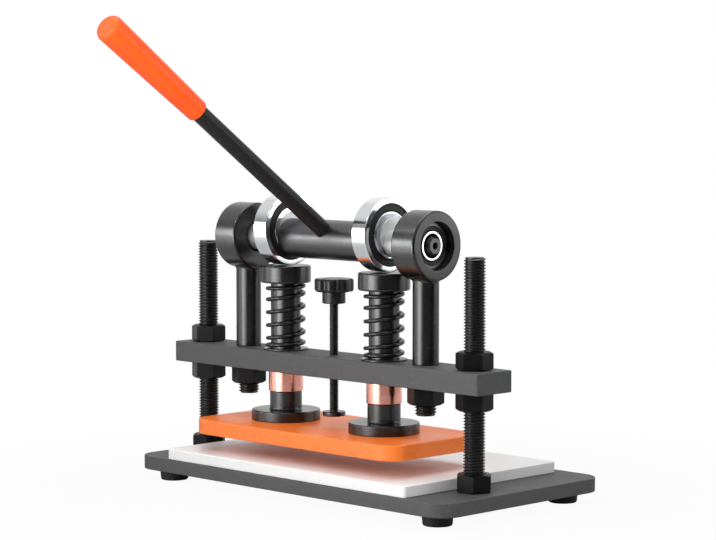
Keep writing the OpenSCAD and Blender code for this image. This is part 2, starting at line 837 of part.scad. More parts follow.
base_plate();
foot(-1, -1);  // front_left_foot
foot(1, -1);  // front_right_foot
foot(-1, 1);  // rear_left_foot
foot(1, 1);  // rear_right_foot
foot_screws();
cutting_board();
column(-1);  // left_column
column(1);  // right_column
base_nuts();
beam();
upper_nuts();
lower_nuts();
post(-1);  // left_post
post(1);  // right_post
post_nuts();
bush(-1);  // left_bush
bush(1);  // right_bush
spring_seat(-1);  // left_spring_seat
spring_seat(1);  // right_spring_seat
spring(-1);  // left_spring
spring(1);  // right_spring
eye_outer_ring(-1);  // left_eye_outer_ring
eye_outer_ring(1);  // right_eye_outer_ring
eye_balls(-1);  // left_eye_balls
eye_balls(1);  // right_eye_balls
eye_seals(-1);  // left_eye_seals
eye_seals(1);  // right_eye_seals
eye_inner_ring(-1);  // left_eye_inner_ring
eye_inner_ring(1);  // right_eye_inner_ring
eccentric_shaft();
lever_rod();
lever_grip();
roller_inner_ring(-1);  // left_roller_inner_ring
roller_inner_ring(1);  // right_roller_inner_ring
roller_circlips();
roller_outer_ring(-1);  // left_roller_outer_ring
roller_outer_ring(1);  // right_roller_outer_ring
roller_balls(-1);  // left_roller_balls
roller_balls(1);  // right_roller_balls
roller_seals(-1);  // left_roller_seals
roller_seals(1);  // right_roller_seals
plunger_rod(-1);  // left_plunger_rod
plunger_rod(1);  // right_plunger_rod
cap(-1);  // left_cap
cap(1);  // right_cap
flange(-1);  // left_flange
flange(1);  // right_flange
plate_screws();
press_plate();
stop_screw();
stop_knob();
stop_foot();
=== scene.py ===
"""Looks of a hand lever die press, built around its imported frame.

Every piece is made in metres in the frame's own space: X runs along the beam, Y away from the side that the
lever rests on, and Z up. Sizes are read from the frame, and only what the frame leaves plain has sizes here.
"""

from __future__ import annotations

import json
import logging
import math
from dataclasses import dataclass, field
from enum import Enum
from typing import Callable, Iterable, Sequence

import bmesh
import bpy
from mathutils import Matrix, Vector
from mathutils.geometry import tessellate_polygon

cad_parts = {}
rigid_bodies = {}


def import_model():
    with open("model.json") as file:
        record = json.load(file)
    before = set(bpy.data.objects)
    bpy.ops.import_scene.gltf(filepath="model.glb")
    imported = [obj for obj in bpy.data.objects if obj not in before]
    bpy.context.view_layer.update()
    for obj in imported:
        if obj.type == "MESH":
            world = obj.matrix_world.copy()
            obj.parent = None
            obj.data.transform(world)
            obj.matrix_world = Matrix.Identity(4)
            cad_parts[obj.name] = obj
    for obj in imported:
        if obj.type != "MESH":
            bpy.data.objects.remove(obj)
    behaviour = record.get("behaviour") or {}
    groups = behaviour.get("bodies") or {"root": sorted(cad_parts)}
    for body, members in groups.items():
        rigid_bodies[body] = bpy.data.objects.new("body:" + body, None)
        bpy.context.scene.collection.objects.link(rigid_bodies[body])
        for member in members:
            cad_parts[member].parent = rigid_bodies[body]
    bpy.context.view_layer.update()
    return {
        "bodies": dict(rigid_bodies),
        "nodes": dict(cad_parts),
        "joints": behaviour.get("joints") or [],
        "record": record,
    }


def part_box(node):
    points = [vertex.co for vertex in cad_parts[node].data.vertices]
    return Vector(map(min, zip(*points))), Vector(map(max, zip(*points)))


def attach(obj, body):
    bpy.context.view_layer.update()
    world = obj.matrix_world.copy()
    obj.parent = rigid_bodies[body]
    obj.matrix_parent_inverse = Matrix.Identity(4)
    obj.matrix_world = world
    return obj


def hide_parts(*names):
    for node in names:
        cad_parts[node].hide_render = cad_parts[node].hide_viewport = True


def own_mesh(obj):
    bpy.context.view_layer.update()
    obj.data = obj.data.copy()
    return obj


MM = 0.001
ON_AXIS = 1e-7  # a smaller radius is a point on the axis
SHARP_ANGLE = math.radians(32.0)  # edges above this angle stay sharp
THREAD_DEPTH = 0.6134  # depth of a thread, as a share of its pitch
SENSOR_WIDTH = 36.0  # in millimetres
WHITE = (1.0, 1.0, 1.0, 1.0)
LOG = logging.getLogger("die_press")

Colour = tuple[float, float, float]
Corner = tuple[float, float, float]


class Side(Enum):
    """The two mirrored halves of the press."""

    LEFT = -1
    RIGHT = 1

    @property
    def word(self) -> str:
        """Name of this side in the frame's nodes."""
        return self.name.lower()

    def node(self, name: str) -> str:
        """Name of this side's node."""
        return f"{self.word}_{name}"


class Grain(Enum):
    """What the fine relief of a finish is made by."""

    PEEL = "Coat peel"
    PEBBLE = "Pebbled mould"
    MARKS = "Tool marks"
    MILLED = "Milled sheet"


# Node trees


class Graph:
    """A node tree in the making."""

    def __init__(self, tree: bpy.types.NodeTree) -> None:
        """Starts on an empty tree.

        Args:
            tree: node tree of a material, a group or the world.
        """
        self.tree = tree
        self.tree.nodes.clear()

    @classmethod
    def of(cls, owner: bpy.types.Material | bpy.types.World) -> Graph:
        """Empty graph of a material or a world."""
        owner.use_nodes = True
        return cls(owner.node_tree)

    def add(self, kind: str, inputs: dict | None = None, **settings: object) -> bpy.types.Node:
        """Adds a node and fills its inputs.

        Args:
            kind: Blender's name of the node type.
            inputs: value or output socket for each input, by name or index.
            settings: attributes of the node.

        Returns:
            The new node.
        """
        node = self.tree.nodes.new(kind)
        for name, value in settings.items():
            setattr(node, name, value)
        for name, value in (inputs or {}).items():
            if isinstance(value, bpy.types.NodeSocket):
                self.tree.links.new(value, node.inputs[name])
            else:
                node.inputs[name].default_value = value
        return node

    def group(self, tree: bpy.types.NodeTree, **inputs: float) -> bpy.types.NodeSocket:
        """Places a node group with values for its inputs and returns its output."""
        return self.add("ShaderNodeGroup", inputs, node_tree=tree).outputs[0]

    def place(self) -> bpy.types.NodeSocket:
        """Adds the place in the piece's own space."""
        return self.add("ShaderNodeTexCoord").outputs["Object"]

    def value_of(self, attribute: str) -> bpy.types.NodeSocket:
        """Adds one of the values that the mesh has at its points."""
        return self.add("ShaderNodeAttribute", attribute_name=attribute).outputs["Fac"]

    def noise(
        self, scale: object, detail: float, roughness: float, place: object = None
    ) -> bpy.types.NodeSocket:
        """Adds cloudy noise.

        Args:
            scale: features per metre, about.
            detail: number of finer layers on it.
            roughness: strength of the finer layers.
            place: where it is read; if None, in the piece's own space.

        Returns:
            The noise, from 0 to 1.
        """
        if place is None:
            place = self.place()
        inputs = {"Vector": place, "Scale": scale, "Detail": detail, "Roughness": roughness}
        return self.add("ShaderNodeTexNoise", inputs).outputs[0]

    def math(self, operation: str, first: object, second: object = 0.0) -> bpy.types.NodeSocket:
        """Adds one step of arithmetic and returns its result."""
        node = self.add("ShaderNodeMath", {0: first, 1: second}, operation=operation)
        return node.outputs[0]

    def remap(
        self, value: object, low: float, high: float, to_low: object, to_high: object
    ) -> bpy.types.NodeSocket:
        """Maps a value from one range to another and clamps it.

        Args:
            value: what is mapped.
            low: value that gives to_low.
            high: value that gives to_high.
            to_low: first end of the result.
            to_high: second end of the result.

        Returns:
            The result.
        """
        inputs = {"Value": value, "From Min": low, "From Max": high, "To Min": to_low, "To Max": to_high}
        return self.add("ShaderNodeMapRange", inputs).outputs[0]

    def mix(self, share: object, first: object, second: object) -> bpy.types.NodeSocket:
        """Mixes two colours.

        Args:
            share: how much of the second colour shows.
            first: colour or socket at a share of 0.
            second: colour or socket at a share of 1.

        Returns:
            The mixed colour.
        """
        first, second = (c if isinstance(c, bpy.types.NodeSocket) else (*c, 1.0) for c in (first, second))
        return self.add("ShaderNodeMix", {0: share, 6: first, 7: second}, data_type="RGBA").outputs[2]


class Effects:
    """Shader groups that several finishes share, each built once."""

    _made: dict[str, bpy.types.NodeTree] = {}

    @classmethod
    def _tree(cls, name: str, inputs: dict[str, float], output: str, build: Callable) -> bpy.types.NodeTree:
        """Makes a group, or returns the one that exists.

        Args:
            name: name of the group.
            inputs: its named inputs with their usual values.
            output: name of its output.
            build: function that takes the graph and the inputs' sockets and returns the result's socket.

        Returns:
            The group.
        """
        if name not in cls._made:
            tree = bpy.data.node_groups.new(name, "ShaderNodeTree")
            graph = Graph(tree)
            for label, usual in inputs.items():
                socket = tree.interface.new_socket(name=label, in_out="INPUT", socket_type="NodeSocketFloat")
                socket.default_value = usual
            tree.interface.new_socket(name=output, in_out="OUTPUT", socket_type="NodeSocketFloat")
            given = graph.add("NodeGroupInput")
            result = build(graph, given.outputs)
            graph.add("NodeGroupOutput", {output: result})
            cls._made[name] = tree
        return cls._made[name]

    @classmethod
    def patches(cls) -> bpy.types.NodeTree:
        """Soft uneven patches, from 0 to 1."""

        def build(graph: Graph, given: object) -> bpy.types.NodeSocket:
            """Cloudy noise with its middle stretched."""
            cloud = graph.noise(given["Scale"], detail=5.0, roughness=0.62)
            return graph.remap(cloud, low=0.32, high=0.68, to_low=0.0, to_high=1.0)

        return cls._tree("Patches", {"Scale": 40.0}, "Value", build)

    @classmethod
    def worn_edges(cls) -> bpy.types.NodeTree:
        """Where the rounded edges are rubbed, from 0 to 1."""

        def build(graph: Graph, given: object) -> bpy.types.NodeSocket:
            """The edge value of the mesh, broken up by noise."""
            rubbed = graph.math("MULTIPLY", graph.value_of("worn"), given["Amount"])
            cloud = graph.noise(given["Scale"], detail=6.0, roughness=0.7)
            ahead = graph.math("SUBTRACT", rubbed, cloud)
            return graph.remap(ahead, low=-0.12, high=0.3, to_low=0.0, to_high=1.0)

        return cls._tree("Worn edges", {"Amount": 0.5, "Scale": 300.0}, "Mask", build)

    @classmethod
    def relief(cls, grain: Grain) -> bpy.types.NodeTree:
        """Fine relief of one kind.

        Args:
            grain: what the relief is made by.

        Returns:
            The group, whose output is a height.
        """
        builders = {
            Grain.PEEL: cls._peel,
            Grain.PEBBLE: cls._pebble,
            Grain.MARKS: cls._marks,
            Grain.MILLED: cls._milled,
        }
        return cls._tree(grain.value, {"Scale": 1000.0}, "Height", builders[grain])

    @staticmethod
    def _peel(graph: Graph, given: object) -> bpy.types.NodeSocket:
        """Orange peel of a sprayed coat: a slow swell with a fine one on it."""
        finer, weaker = 3.7, 0.35
        slow = graph.noise(given["Scale"], detail=1.0, roughness=0.4)
        fine = graph.noise(graph.math("MULTIPLY", given["Scale"], finer), detail=2.0, roughness=0.5)
        return graph.math("ADD", slow, graph.math("MULTIPLY", fine, weaker))

    @staticmethod
    def _pebble(graph: Graph, given: object) -> bpy.types.NodeSocket:
        """Small round pits of a textured mould."""
        inputs = {"Vector": graph.place(), "Scale": given["Scale"]}
        return graph.add("ShaderNodeTexVoronoi", inputs, feature="SMOOTH_F1").outputs["Distance"]

    @staticmethod
    def _marks(graph: Graph, given: object) -> bpy.types.NodeSocket:
        """Rings that a cutting tool leaves along a turned outline."""
        inputs = {"W": graph.value_of("run"), "Scale": given["Scale"], "Detail": 3.0, "Roughness": 0.65}
        return graph.add("ShaderNodeTexNoise", inputs, noise_dimensions="1D").outputs[0]

    @staticmethod
    def _milled(graph: Graph, given: object) -> bpy.types.NodeSocket:
        """Long fine streaks along X, as a planed sheet has."""
        stretch = (0.03, 1.0, 1.0)
        streaks = graph.add("ShaderNodeMapping", {"Vector": graph.place(), "Scale": stretch}).outputs[0]
        return graph.noise(given["Scale"], detail=4.0, roughness=0.6, place=streaks)


@dataclass(frozen=True)
class Finish:
    """How one surface looks.

    Attributes:
        name: name of the material.
        colour: main tone.
        shade: tone of its uneven patches.
        bare: tone where the edges are rubbed.
        roughness: middle of the roughness.
        wander: how far the roughness strays to each side.
        metallic: 1 for bare metal and 0 for paint, plastic and rubber.
        specular: strength of the reflection of what isn't metal.
        patch_scale: patches per metre, about.
        rub: how much of the edges is rubbed.
        bare_metal: True if metal shows where the edges are rubbed.
        grain: kind of fine relief.
        grain_scale: relief features per metre, about.
        grain_height: height of the relief in metres.
    """

    name: str
    colour: Colour
    shade: Colour
    bare: Colour
    roughness: float
    wander: float
    grain: Grain
    grain_scale: float
    grain_height: float
    metallic: float = 0.0
    specular: float = 0.5
    patch_scale: float = 45.0
    rub: float = 0.0
    bare_metal: bool = False

    def material(self) -> bpy.types.Material:
        """Makes the material, or returns the one that exists."""
        found = bpy.data.materials.get(self.name)
        if found is not None:
            return found
        material = bpy.data.materials.new(self.name)
        graph = Graph.of(material)
        patches = graph.group(Effects.patches(), Scale=self.patch_scale)
        worn = graph.group(Effects.worn_edges(), Amount=self.rub)
        relief = graph.group(Effects.relief(self.grain), Scale=self.grain_scale)
        bump = graph.add("ShaderNodeBump", {"Strength": 1.0, "Distance": self.grain_height, "Height": relief})
        tone = graph.mix(worn, graph.mix(patches, self.colour, self.shade), self.bare)
        rough = graph.remap(patches, 0.0, 1.0, self.roughness - self.wander, self.roughness + self.wander)
        inputs = {
            "Base Color": tone,
            "Roughness": rough,
            "Metallic": worn if self.bare_metal else self.metallic,
            "Specular IOR Level": self.specular,
            "Normal": bump.outputs[0],
        }
        shader = graph.add("ShaderNodeBsdfPrincipled", inputs)
        graph.add("ShaderNodeOutputMaterial", {"Surface": shader.outputs[0]})
        return material


STEEL: Colour = (0.42, 0.43, 0.45)

COAT_GREY = Finish(
    "coat_grey", (0.07, 0.071, 0.073), (0.08, 0.081, 0.083), (0.115, 0.117, 0.12),
    roughness=0.6, wander=0.05, grain=Grain.PEEL, grain_scale=900.0, grain_height=0.07 * MM,
    specular=0.3, rub=0.35,
)
BLACK_OXIDE = Finish(
    "black_oxide", (0.0022, 0.0022, 0.0023), (0.004, 0.004, 0.0042), (0.06, 0.061, 0.064),
    roughness=0.26, wander=0.03, grain=Grain.MARKS, grain_scale=2600.0, grain_height=0.0015 * MM,
    specular=0.75, rub=0.25, bare_metal=True,
)
NUT_BLACK = Finish(
    "nut_black", (0.002, 0.002, 0.0021), (0.0035, 0.0035, 0.0037), (0.05, 0.051, 0.053),
    roughness=0.38, wander=0.04, grain=Grain.PEEL, grain_scale=1600.0, grain_height=0.006 * MM,
    specular=0.17, rub=0.3, bare_metal=True,
)
BLACK_THREAD = Finish(
    "black_thread", (0.004, 0.004, 0.0042), (0.008, 0.008, 0.0085), (0.09, 0.092, 0.095),
    roughness=0.34, wander=0.05, grain=Grain.PEEL, grain_scale=1500.0, grain_height=0.02 * MM,
    specular=0.6, rub=0.38, bare_metal=True,
)
BLACK_PAINT = Finish(
    "black_paint", (0.003, 0.003, 0.0031), (0.005, 0.005, 0.0052), (0.03, 0.03, 0.031),
    roughness=0.25, wander=0.03, grain=Grain.PEEL, grain_scale=700.0, grain_height=0.02 * MM,
    specular=0.66, rub=0.35,
)
LEVER_BLACK = Finish(
    "lever_black", (0.012, 0.012, 0.0123), (0.015, 0.015, 0.0154), (0.03, 0.03, 0.031),
    roughness=0.38, wander=0.03, grain=Grain.PEEL, grain_scale=700.0, grain_height=0.02 * MM,
    specular=0.2, rub=0.3,
)
SPRING_BLACK = Finish(
    "spring_black", (0.003, 0.003, 0.0031), (0.005, 0.005, 0.0052), (0.06, 0.06, 0.062),
    roughness=0.22, wander=0.03, grain=Grain.PEEL, grain_scale=1400.0, grain_height=0.01 * MM,
    specular=0.55,
)
SHAFT_DARK = Finish(
    "shaft_dark", (0.13, 0.131, 0.134), (0.11, 0.111, 0.114), STEEL,
    roughness=0.36, wander=0.04, grain=Grain.MARKS, grain_scale=1900.0, grain_height=0.004 * MM,
    metallic=1.0, rub=0.3,
)
EYE_STEEL = Finish(
    "eye_steel", (0.115, 0.1155, 0.117), (0.1, 0.1005, 0.102), STEEL,
    roughness=0.27, wander=0.03, grain=Grain.MARKS, grain_scale=1500.0, grain_height=0.004 * MM,
    metallic=1.0, rub=0.25,
)
GROUND_STEEL = Finish(
    "ground_steel", (0.76, 0.765, 0.77), (0.72, 0.725, 0.73), (0.82, 0.825, 0.83),
    roughness=0.5, wander=0.03, grain=Grain.MARKS, grain_scale=3500.0, grain_height=0.002 * MM,
    metallic=1.0, rub=0.35, patch_scale=20.0,
)
BEARING_STEEL = Finish(
    "bearing_steel", (0.82, 0.825, 0.835), (0.78, 0.785, 0.795), (0.88, 0.88, 0.89),
    roughness=0.17, wander=0.02, grain=Grain.MARKS, grain_scale=5200.0, grain_height=0.001 * MM,
    metallic=1.0, rub=0.3, patch_scale=20.0,
)
# Painted shade: a near-black finish on the inner rings' bore chamfers and on the shaft's end chamfers and
# centre holes, standing in for the shadow in those grooves and holes; its rubbed edges show bare metal as
# real wear
PAINTED_SHADE_RING = Finish(
    "dark_ring", (0.006, 0.006, 0.0063), (0.011, 0.011, 0.0115), (0.3, 0.305, 0.31),
    roughness=0.3, wander=0.04, grain=Grain.MARKS, grain_scale=3000.0, grain_height=0.004 * MM,
    specular=0.4, rub=0.5, bare_metal=True,
)
ZINC = Finish(
    "zinc_plate", (0.5, 0.51, 0.53), (0.4, 0.41, 0.44), (0.6, 0.6, 0.6),
    roughness=0.34, wander=0.07, grain=Grain.PEEL, grain_scale=2400.0, grain_height=0.008 * MM,
    metallic=1.0, patch_scale=160.0,
)
BRONZE = Finish(
    "bush_bronze", (0.89, 0.41, 0.32), (0.84, 0.36, 0.28), (0.93, 0.62, 0.5),
    roughness=0.2, wander=0.02, grain=Grain.MARKS, grain_scale=2800.0, grain_height=0.001 * MM,
    metallic=1.0, rub=0.4,
)
SEAL_RUBBER = Finish(
    "seal_rubber", (0.005, 0.005, 0.005), (0.009, 0.009, 0.009), (0.02, 0.02, 0.02),
    roughness=0.42, wander=0.05, grain=Grain.PEBBLE, grain_scale=2600.0, grain_height=0.01 * MM,
    specular=0.35, patch_scale=120.0,
)
FOOT_RUBBER = Finish(
    "foot_rubber", (0.011, 0.011, 0.011), (0.018, 0.018, 0.018), (0.045, 0.045, 0.045),
    roughness=0.6, wander=0.07, grain=Grain.PEBBLE, grain_scale=1500.0, grain_height=0.03 * MM,
    specular=0.3, patch_scale=90.0, rub=0.3,
)
PLATE_ORANGE = Finish(
    "plate_orange", (0.97, 0.205, 0.022), (0.94, 0.185, 0.02), (0.96, 0.31, 0.08),
    roughness=0.4, wander=0.05, grain=Grain.PEEL, grain_scale=800.0, grain_height=0.06 * MM,
    specular=0.4, rub=0.4,
)
GRIP_ORANGE = Finish(
    "grip_orange", (0.9, 0.092, 0.006), (0.87, 0.08, 0.005), (0.92, 0.17, 0.03),
    roughness=0.42, wander=0.04, grain=Grain.PEBBLE, grain_scale=1600.0, grain_height=0.006 * MM,
    specular=0.3, patch_scale=60.0, rub=0.3,
)
BOARD_WHITE = Finish(
    "board_white", (0.86, 0.86, 0.855), (0.83, 0.83, 0.82), (0.9, 0.9, 0.9),
    roughness=0.45, wander=0.06, grain=Grain.MILLED, grain_scale=900.0, grain_height=0.04 * MM,
    specular=0.4, patch_scale=25.0, rub=0.2,
)
KNOB_BLACK = Finish(
    "knob_black", (0.006, 0.006, 0.0063), (0.01, 0.01, 0.0105), (0.04, 0.04, 0.04),
    roughness=0.28, wander=0.04, grain=Grain.PEBBLE, grain_scale=2200.0, grain_height=0.008 * MM,
    specular=0.36, patch_scale=120.0, rub=0.35,
)


# Meshes


def turns(steps: int) -> list[float]:
    """Angles of a full turn in equal steps."""
    return [2 * math.pi * k / steps for k in range(steps)]


def polar(radius: float, angle: float, z: float = 0.0) -> Vector:
    """Point at a distance from the Z axis, in one direction."""
    return Vector((radius * math.cos(angle), radius * math.sin(angle), z))


def edge_rows(low: float, high: float, edge: float, steps: int) -> list[tuple[float, float]]:
    """Rows of an upright side whose bottom and top edges are rounded.

    Args:
        low: bottom of the side.
        high: top of the side.
        edge: rounding of both edges.
        steps: steps of each rounding.

    Returns:
        Inset and height of each row, from the bottom up.
    """
    bends = [math.pi / 2 * k / steps for k in range(steps + 1)]
    rows = [(edge * (1 - math.sin(a)), low + edge * (1 - math.cos(a))) for a in bends]
    return rows + [(inset, high - (z - low)) for inset, z in reversed(rows)]


@dataclass(frozen=True)
class Mark:
    """One point of a turned outline.

    Attributes:
        r: distance from the axis.
        z: place along the axis.
        worn: 1 on a rounded edge and 0 elsewhere.
    """

    r: float
    z: float
    worn: float = 0.0


@dataclass
class Shell:
    """A mesh in the making.

    Attributes:
        points: places of the points.
        worn: at each point, 1 on the rounded edges, where a finish is rubbed first.
        run: at each point, the length along a turned outline, which tool marks follow.
        faces: corners of each face, as indices of points.
        slots: index of each face's finish.
    """

    points: list[Vector] = field(default_factory=list)
    worn: list[float] = field(default_factory=list)
    run: list[float] = field(default_factory=list)
    faces: list[tuple[int, ...]] = field(default_factory=list)
    slots: list[int] = field(default_factory=list)

    def point(self, place: Vector, worn: float = 0.0, run: float = 0.0) -> int:
        """Adds a point and returns its index."""
        self.points.append(place)
        self.worn.append(worn)
        self.run.append(run)
        return len(self.points) - 1

    def face(self, corners: Iterable[int]) -> None:
        """Adds a face."""
        self.faces.append(tuple(corners))
        self.slots.append(0)

    def bridge(self, first: Sequence[int], second: Sequence[int]) -> None:
        """Joins two closed rings of points, either of which may be one point.

        Args:
            first: points of one ring.
            second: points of the next ring.
        """
        count = max(len(first), len(second))
        for k in range(count):
            ahead = (k + 1) % count
            if len(first) == 1:
                self.face((first[0], second[ahead], second[k]))
            elif len(second) == 1:
                self.face((first[k], first[ahead], second[0]))
            else:
                self.face((first[k], first[ahead], second[ahead], second[k]))

    def loft(self, rings: Sequence[Sequence[int]], closed: bool = False) -> None:
        """Joins each ring of points to the next.

        Args:
            rings: the rings, in order.
            closed: True if the last ring joins the first.
        """
        following = [*rings[1:], *(rings[:1] if closed else ())]
        for first, second in zip(rings, following):
            self.bridge(first, second)

    def joined(self, *others: Shell) -> Shell:
        """Adds other shells to this one and returns it."""
        for other in others:
            offset = len(self.points)
            self.points += other.points
            self.worn += other.worn
            self.run += other.run
            self.faces += [tuple(i + offset for i in face) for face in other.faces]
            self.slots += other.slots
        return self

    def moved(self, matrix: Matrix) -> Shell:
        """Copy of this shell in another place."""
        points = [matrix @ p for p in self.points]
        return Shell(points, list(self.worn), list(self.run), list(self.faces), list(self.slots))

    def slotted(self, slot: int) -> Shell:
        """This shell with one finish all over."""
        self.slots = [slot] * len(self.faces)
        return self

    def marked(self, slot: int, where: Callable[[float, float], bool]) -> Shell:
        """This turned shell with another finish on some faces.

        Args:
            slot: index of the finish.
            where: tells from a face's distance from the Z axis and its height whether it has that finish.

        Returns:
            The shell itself.
        """
        for i, face in enumerate(self.faces):
            corners = [self.points[k] for k in face]
            reach = sum(math.hypot(p.x, p.y) for p in corners) / len(corners)
            if where(reach, sum(p.z for p in corners) / len(corners)):
                self.slots[i] = slot
        return self

    def mesh(self, name: str) -> bpy.types.Mesh:
        """Turns the shell into a mesh with its faces outwards.

        Args:
            name: name of the mesh.

        Returns:
            The mesh, with the values of its points as attributes.
        """
        mesh = bpy.data.meshes.new(name)
        mesh.from_pydata(self.points, [], self.faces)
        mesh.polygons.foreach_set("material_index", self.slots)
        for label, values in (("worn", self.worn), ("run", self.run)):
            mesh.attributes.new(label, "FLOAT", "POINT").data.foreach_set("value", values)
        work = bmesh.new()
        work.from_mesh(mesh)
        bmesh.ops.recalc_face_normals(work, faces=work.faces)
        work.to_mesh(mesh)
        work.free()
        mesh.polygons.foreach_set("use_smooth", [True] * len(mesh.polygons))
        mesh.set_sharp_from_angle(angle=SHARP_ANGLE)
        mesh.update()
        return mesh


def rounded(corners: Sequence[Corner], closed: bool = False, steps: int = 4) -> list[Mark]:
    """Rounds the corners of an outline.

    Args:
        corners: distance from the axis, place along the axis and fillet radius of each corner.
        closed: True if the last corner joins the first.
        steps: steps of each rounding.

    Returns:
        The outline's points.
    """
    marks: list[Mark] = []
    count = len(corners)
    most = 0.49  # share of the shorter side that a rounding may take
    for i, (r, z, fillet) in enumerate(corners):
        if not fillet or (not closed and i in (0, count - 1)):
            marks.append(Mark(r, z))
            continue
        here = Vector((r, z))
        back = Vector(corners[i - 1][:2]) - here
        ahead = Vector(corners[(i + 1) % count][:2]) - here
        half = back.angle(ahead) / 2
        reach = min(fillet / math.tan(half), most * min(back.length, ahead.length))
        radius = reach * math.tan(half)
        centre = here + (back.normalized() + ahead.normalized()).normalized() * (radius / math.sin(half))
        start = (here + back.normalized() * reach - centre).normalized()
        end = (here + ahead.normalized() * reach - centre).normalized()
        sweep = start.angle(end)
        for k in range(steps + 1):
            share = k / steps
            arm = (start * math.sin((1 - share) * sweep) + end * math.sin(share * sweep)) / math.sin(sweep)
            place = centre + arm * radius
            marks.append(Mark(place.x, place.y, 1.0))
    return marks


def ring(radius: float, z: float, steps: int) -> list[Vector]:
    """Points of a circle round the Z axis."""
    return [polar(radius, a, z) for a in turns(steps)]


def lathe(marks: Sequence[Mark], closed: bool = False, steps: int = 96) -> Shell:
    """Turns an outline round the Z axis.

    Args:
        marks: points of the outline.
        closed: True for a ring, whose last point joins its first.
        steps: faces round the axis.

    Returns:
        The turned shell.
    """
    shell = Shell()
    rings: list[list[int]] = []
    run = 0.0
    for i, mark in enumerate(marks):
        if i:
            run += math.dist((mark.r, mark.z), (marks[i - 1].r, marks[i - 1].z))
        places = [Vector((0, 0, mark.z))] if mark.r < ON_AXIS else ring(mark.r, mark.z, steps)
        rings.append([shell.point(p, mark.worn, run) for p in places])
    shell.loft(rings, closed)
    return shell


def bar(diameter: float, low: float, high: float, fillet: float, steps: int = 96) -> Shell:
    """A round bar along Z with rounded ends.

    Args:
        diameter: diameter of the bar.
        low: bottom of the bar.
        high: top of the bar.
        fillet: rounding of its two edges.
        steps: faces round the axis.

    Returns:
        The bar.
    """
    r = diameter / 2
    return lathe(rounded([(0, low, 0), (r, low, fillet), (r, high, fillet), (0, high, 0)]), steps=steps)


def tube(outer: float, inner: float, low: float, high: float, fillet: float) -> Shell:
    """A tube along Z with rounded edges.

    Args:
        outer: outer diameter.
        inner: inner diameter.
        low: bottom of the tube.
        high: top of the tube.
        fillet: rounding of its four edges.

    Returns:
        The tube.
    """
    a, b = inner / 2, outer / 2
    corners = [(a, low, fillet), (b, low, fillet), (b, high, fillet), (a, high, fillet)]
    return lathe(rounded(corners, closed=True), closed=True)


@dataclass(frozen=True)
class Hole:
    """A round hole through a plate.

    Attributes:
        x: place of its axis.
        y: place of its axis.
        rows: radius and height of its wall, from the bottom face to the top face.
    """

    x: float
    y: float
    rows: tuple[tuple[float, float], ...]

    @classmethod
    def straight(cls, place: Vector, radius: float, space: Space) -> Hole:
        """Hole of one radius through the height of a box."""
        return cls(place.x, place.y, ((radius, space.low.z), (radius, space.high.z)))


def rectangle(width: float, depth: float, corner: float, z: float, steps: int = 8) -> list[Vector]:
    """Points of a rectangle with round corners, centred on the Z axis.

    Args:
        width: size along X.
        depth: size along Y.
        corner: corner radius.
        z: height of the points.
        steps: steps of each corner.

    Returns:
        The points, in order.
    """
    points = []
    for quarter, (sx, sy) in enumerate(((1, 1), (-1, 1), (-1, -1), (1, -1))):
        cx, cy = sx * (width / 2 - corner), sy * (depth / 2 - corner)
        for k in range(steps + 1):
            a = math.pi / 2 * (quarter + k / steps)
            points.append(Vector((cx + corner * math.cos(a), cy + corner * math.sin(a), z)))
    return points


def plate(space: Space, corner: float, edge: float, holes: Sequence[Hole] = (), steps: int = 4) -> Shell:
    """A flat plate that fills a box, with round corners, rounded edges and holes.

    Args:
        space: the box.
        corner: corner radius in plan.
        edge: rounding of the top and bottom edges.
        holes: holes through the plate.
        steps: steps of each edge's rounding.

    Returns:
        The plate.
    """
    shell = Shell()
    hole_steps, flat_wear = 64, 0.4
    middle = space.stand.translation
    rings = []
    for inset, z in edge_rows(space.low.z, space.high.z, edge, steps):
        outline = rectangle(space.size.x - 2 * inset, space.size.y - 2 * inset, corner - inset, z)
        rings.append([shell.point(p + middle, 1.0) for p in outline])
    shell.loft(rings)
    walls = []
    for hole in holes:
        axis = Vector((hole.x, hole.y, 0))
        walls.append([[shell.point(p + axis) for p in ring(r, z, hole_steps)] for r, z in hole.rows])
        shell.loft(walls[-1])
    for end in (0, -1):
        loops = [rings[end], *(wall[end] for wall in walls)]
        flat = [i for loop in loops for i in loop]
        for corners in tessellate_polygon([[shell.points[i] for i in loop] for loop in loops]):
            shell.face(flat[i] for i in corners)
        for i in rings[end]:
            shell.worn[i] = flat_wear
    return shell


def hexagon_radius(angle: float, flats: float, fillet: float) -> tuple[float, float]:
    """Distance from the axis to the side of a hexagon with rounded corners.

    Args:
        angle: direction, with a corner at 0.
        flats: width across the flats.
        fillet: rounding of the corners.

    Returns:
        The distance, and how close the direction is to a corner, from 0 to 1.
    """
    half_side = math.pi / 6
    off = abs((angle + half_side) % (2 * half_side) - half_side)
    reach = (flats / 2 - fillet) / math.cos(half_side)
    meets = math.atan2(fillet * math.sin(half_side), reach + fillet * math.cos(half_side))
    if off < meets:
        distance = reach * math.cos(off) + math.sqrt(fillet**2 - (reach * math.sin(off)) ** 2)
    else:
        distance = flats / 2 / math.cos(half_side - off)
    return distance, max(0.0, 1 - off / (3 * meets))


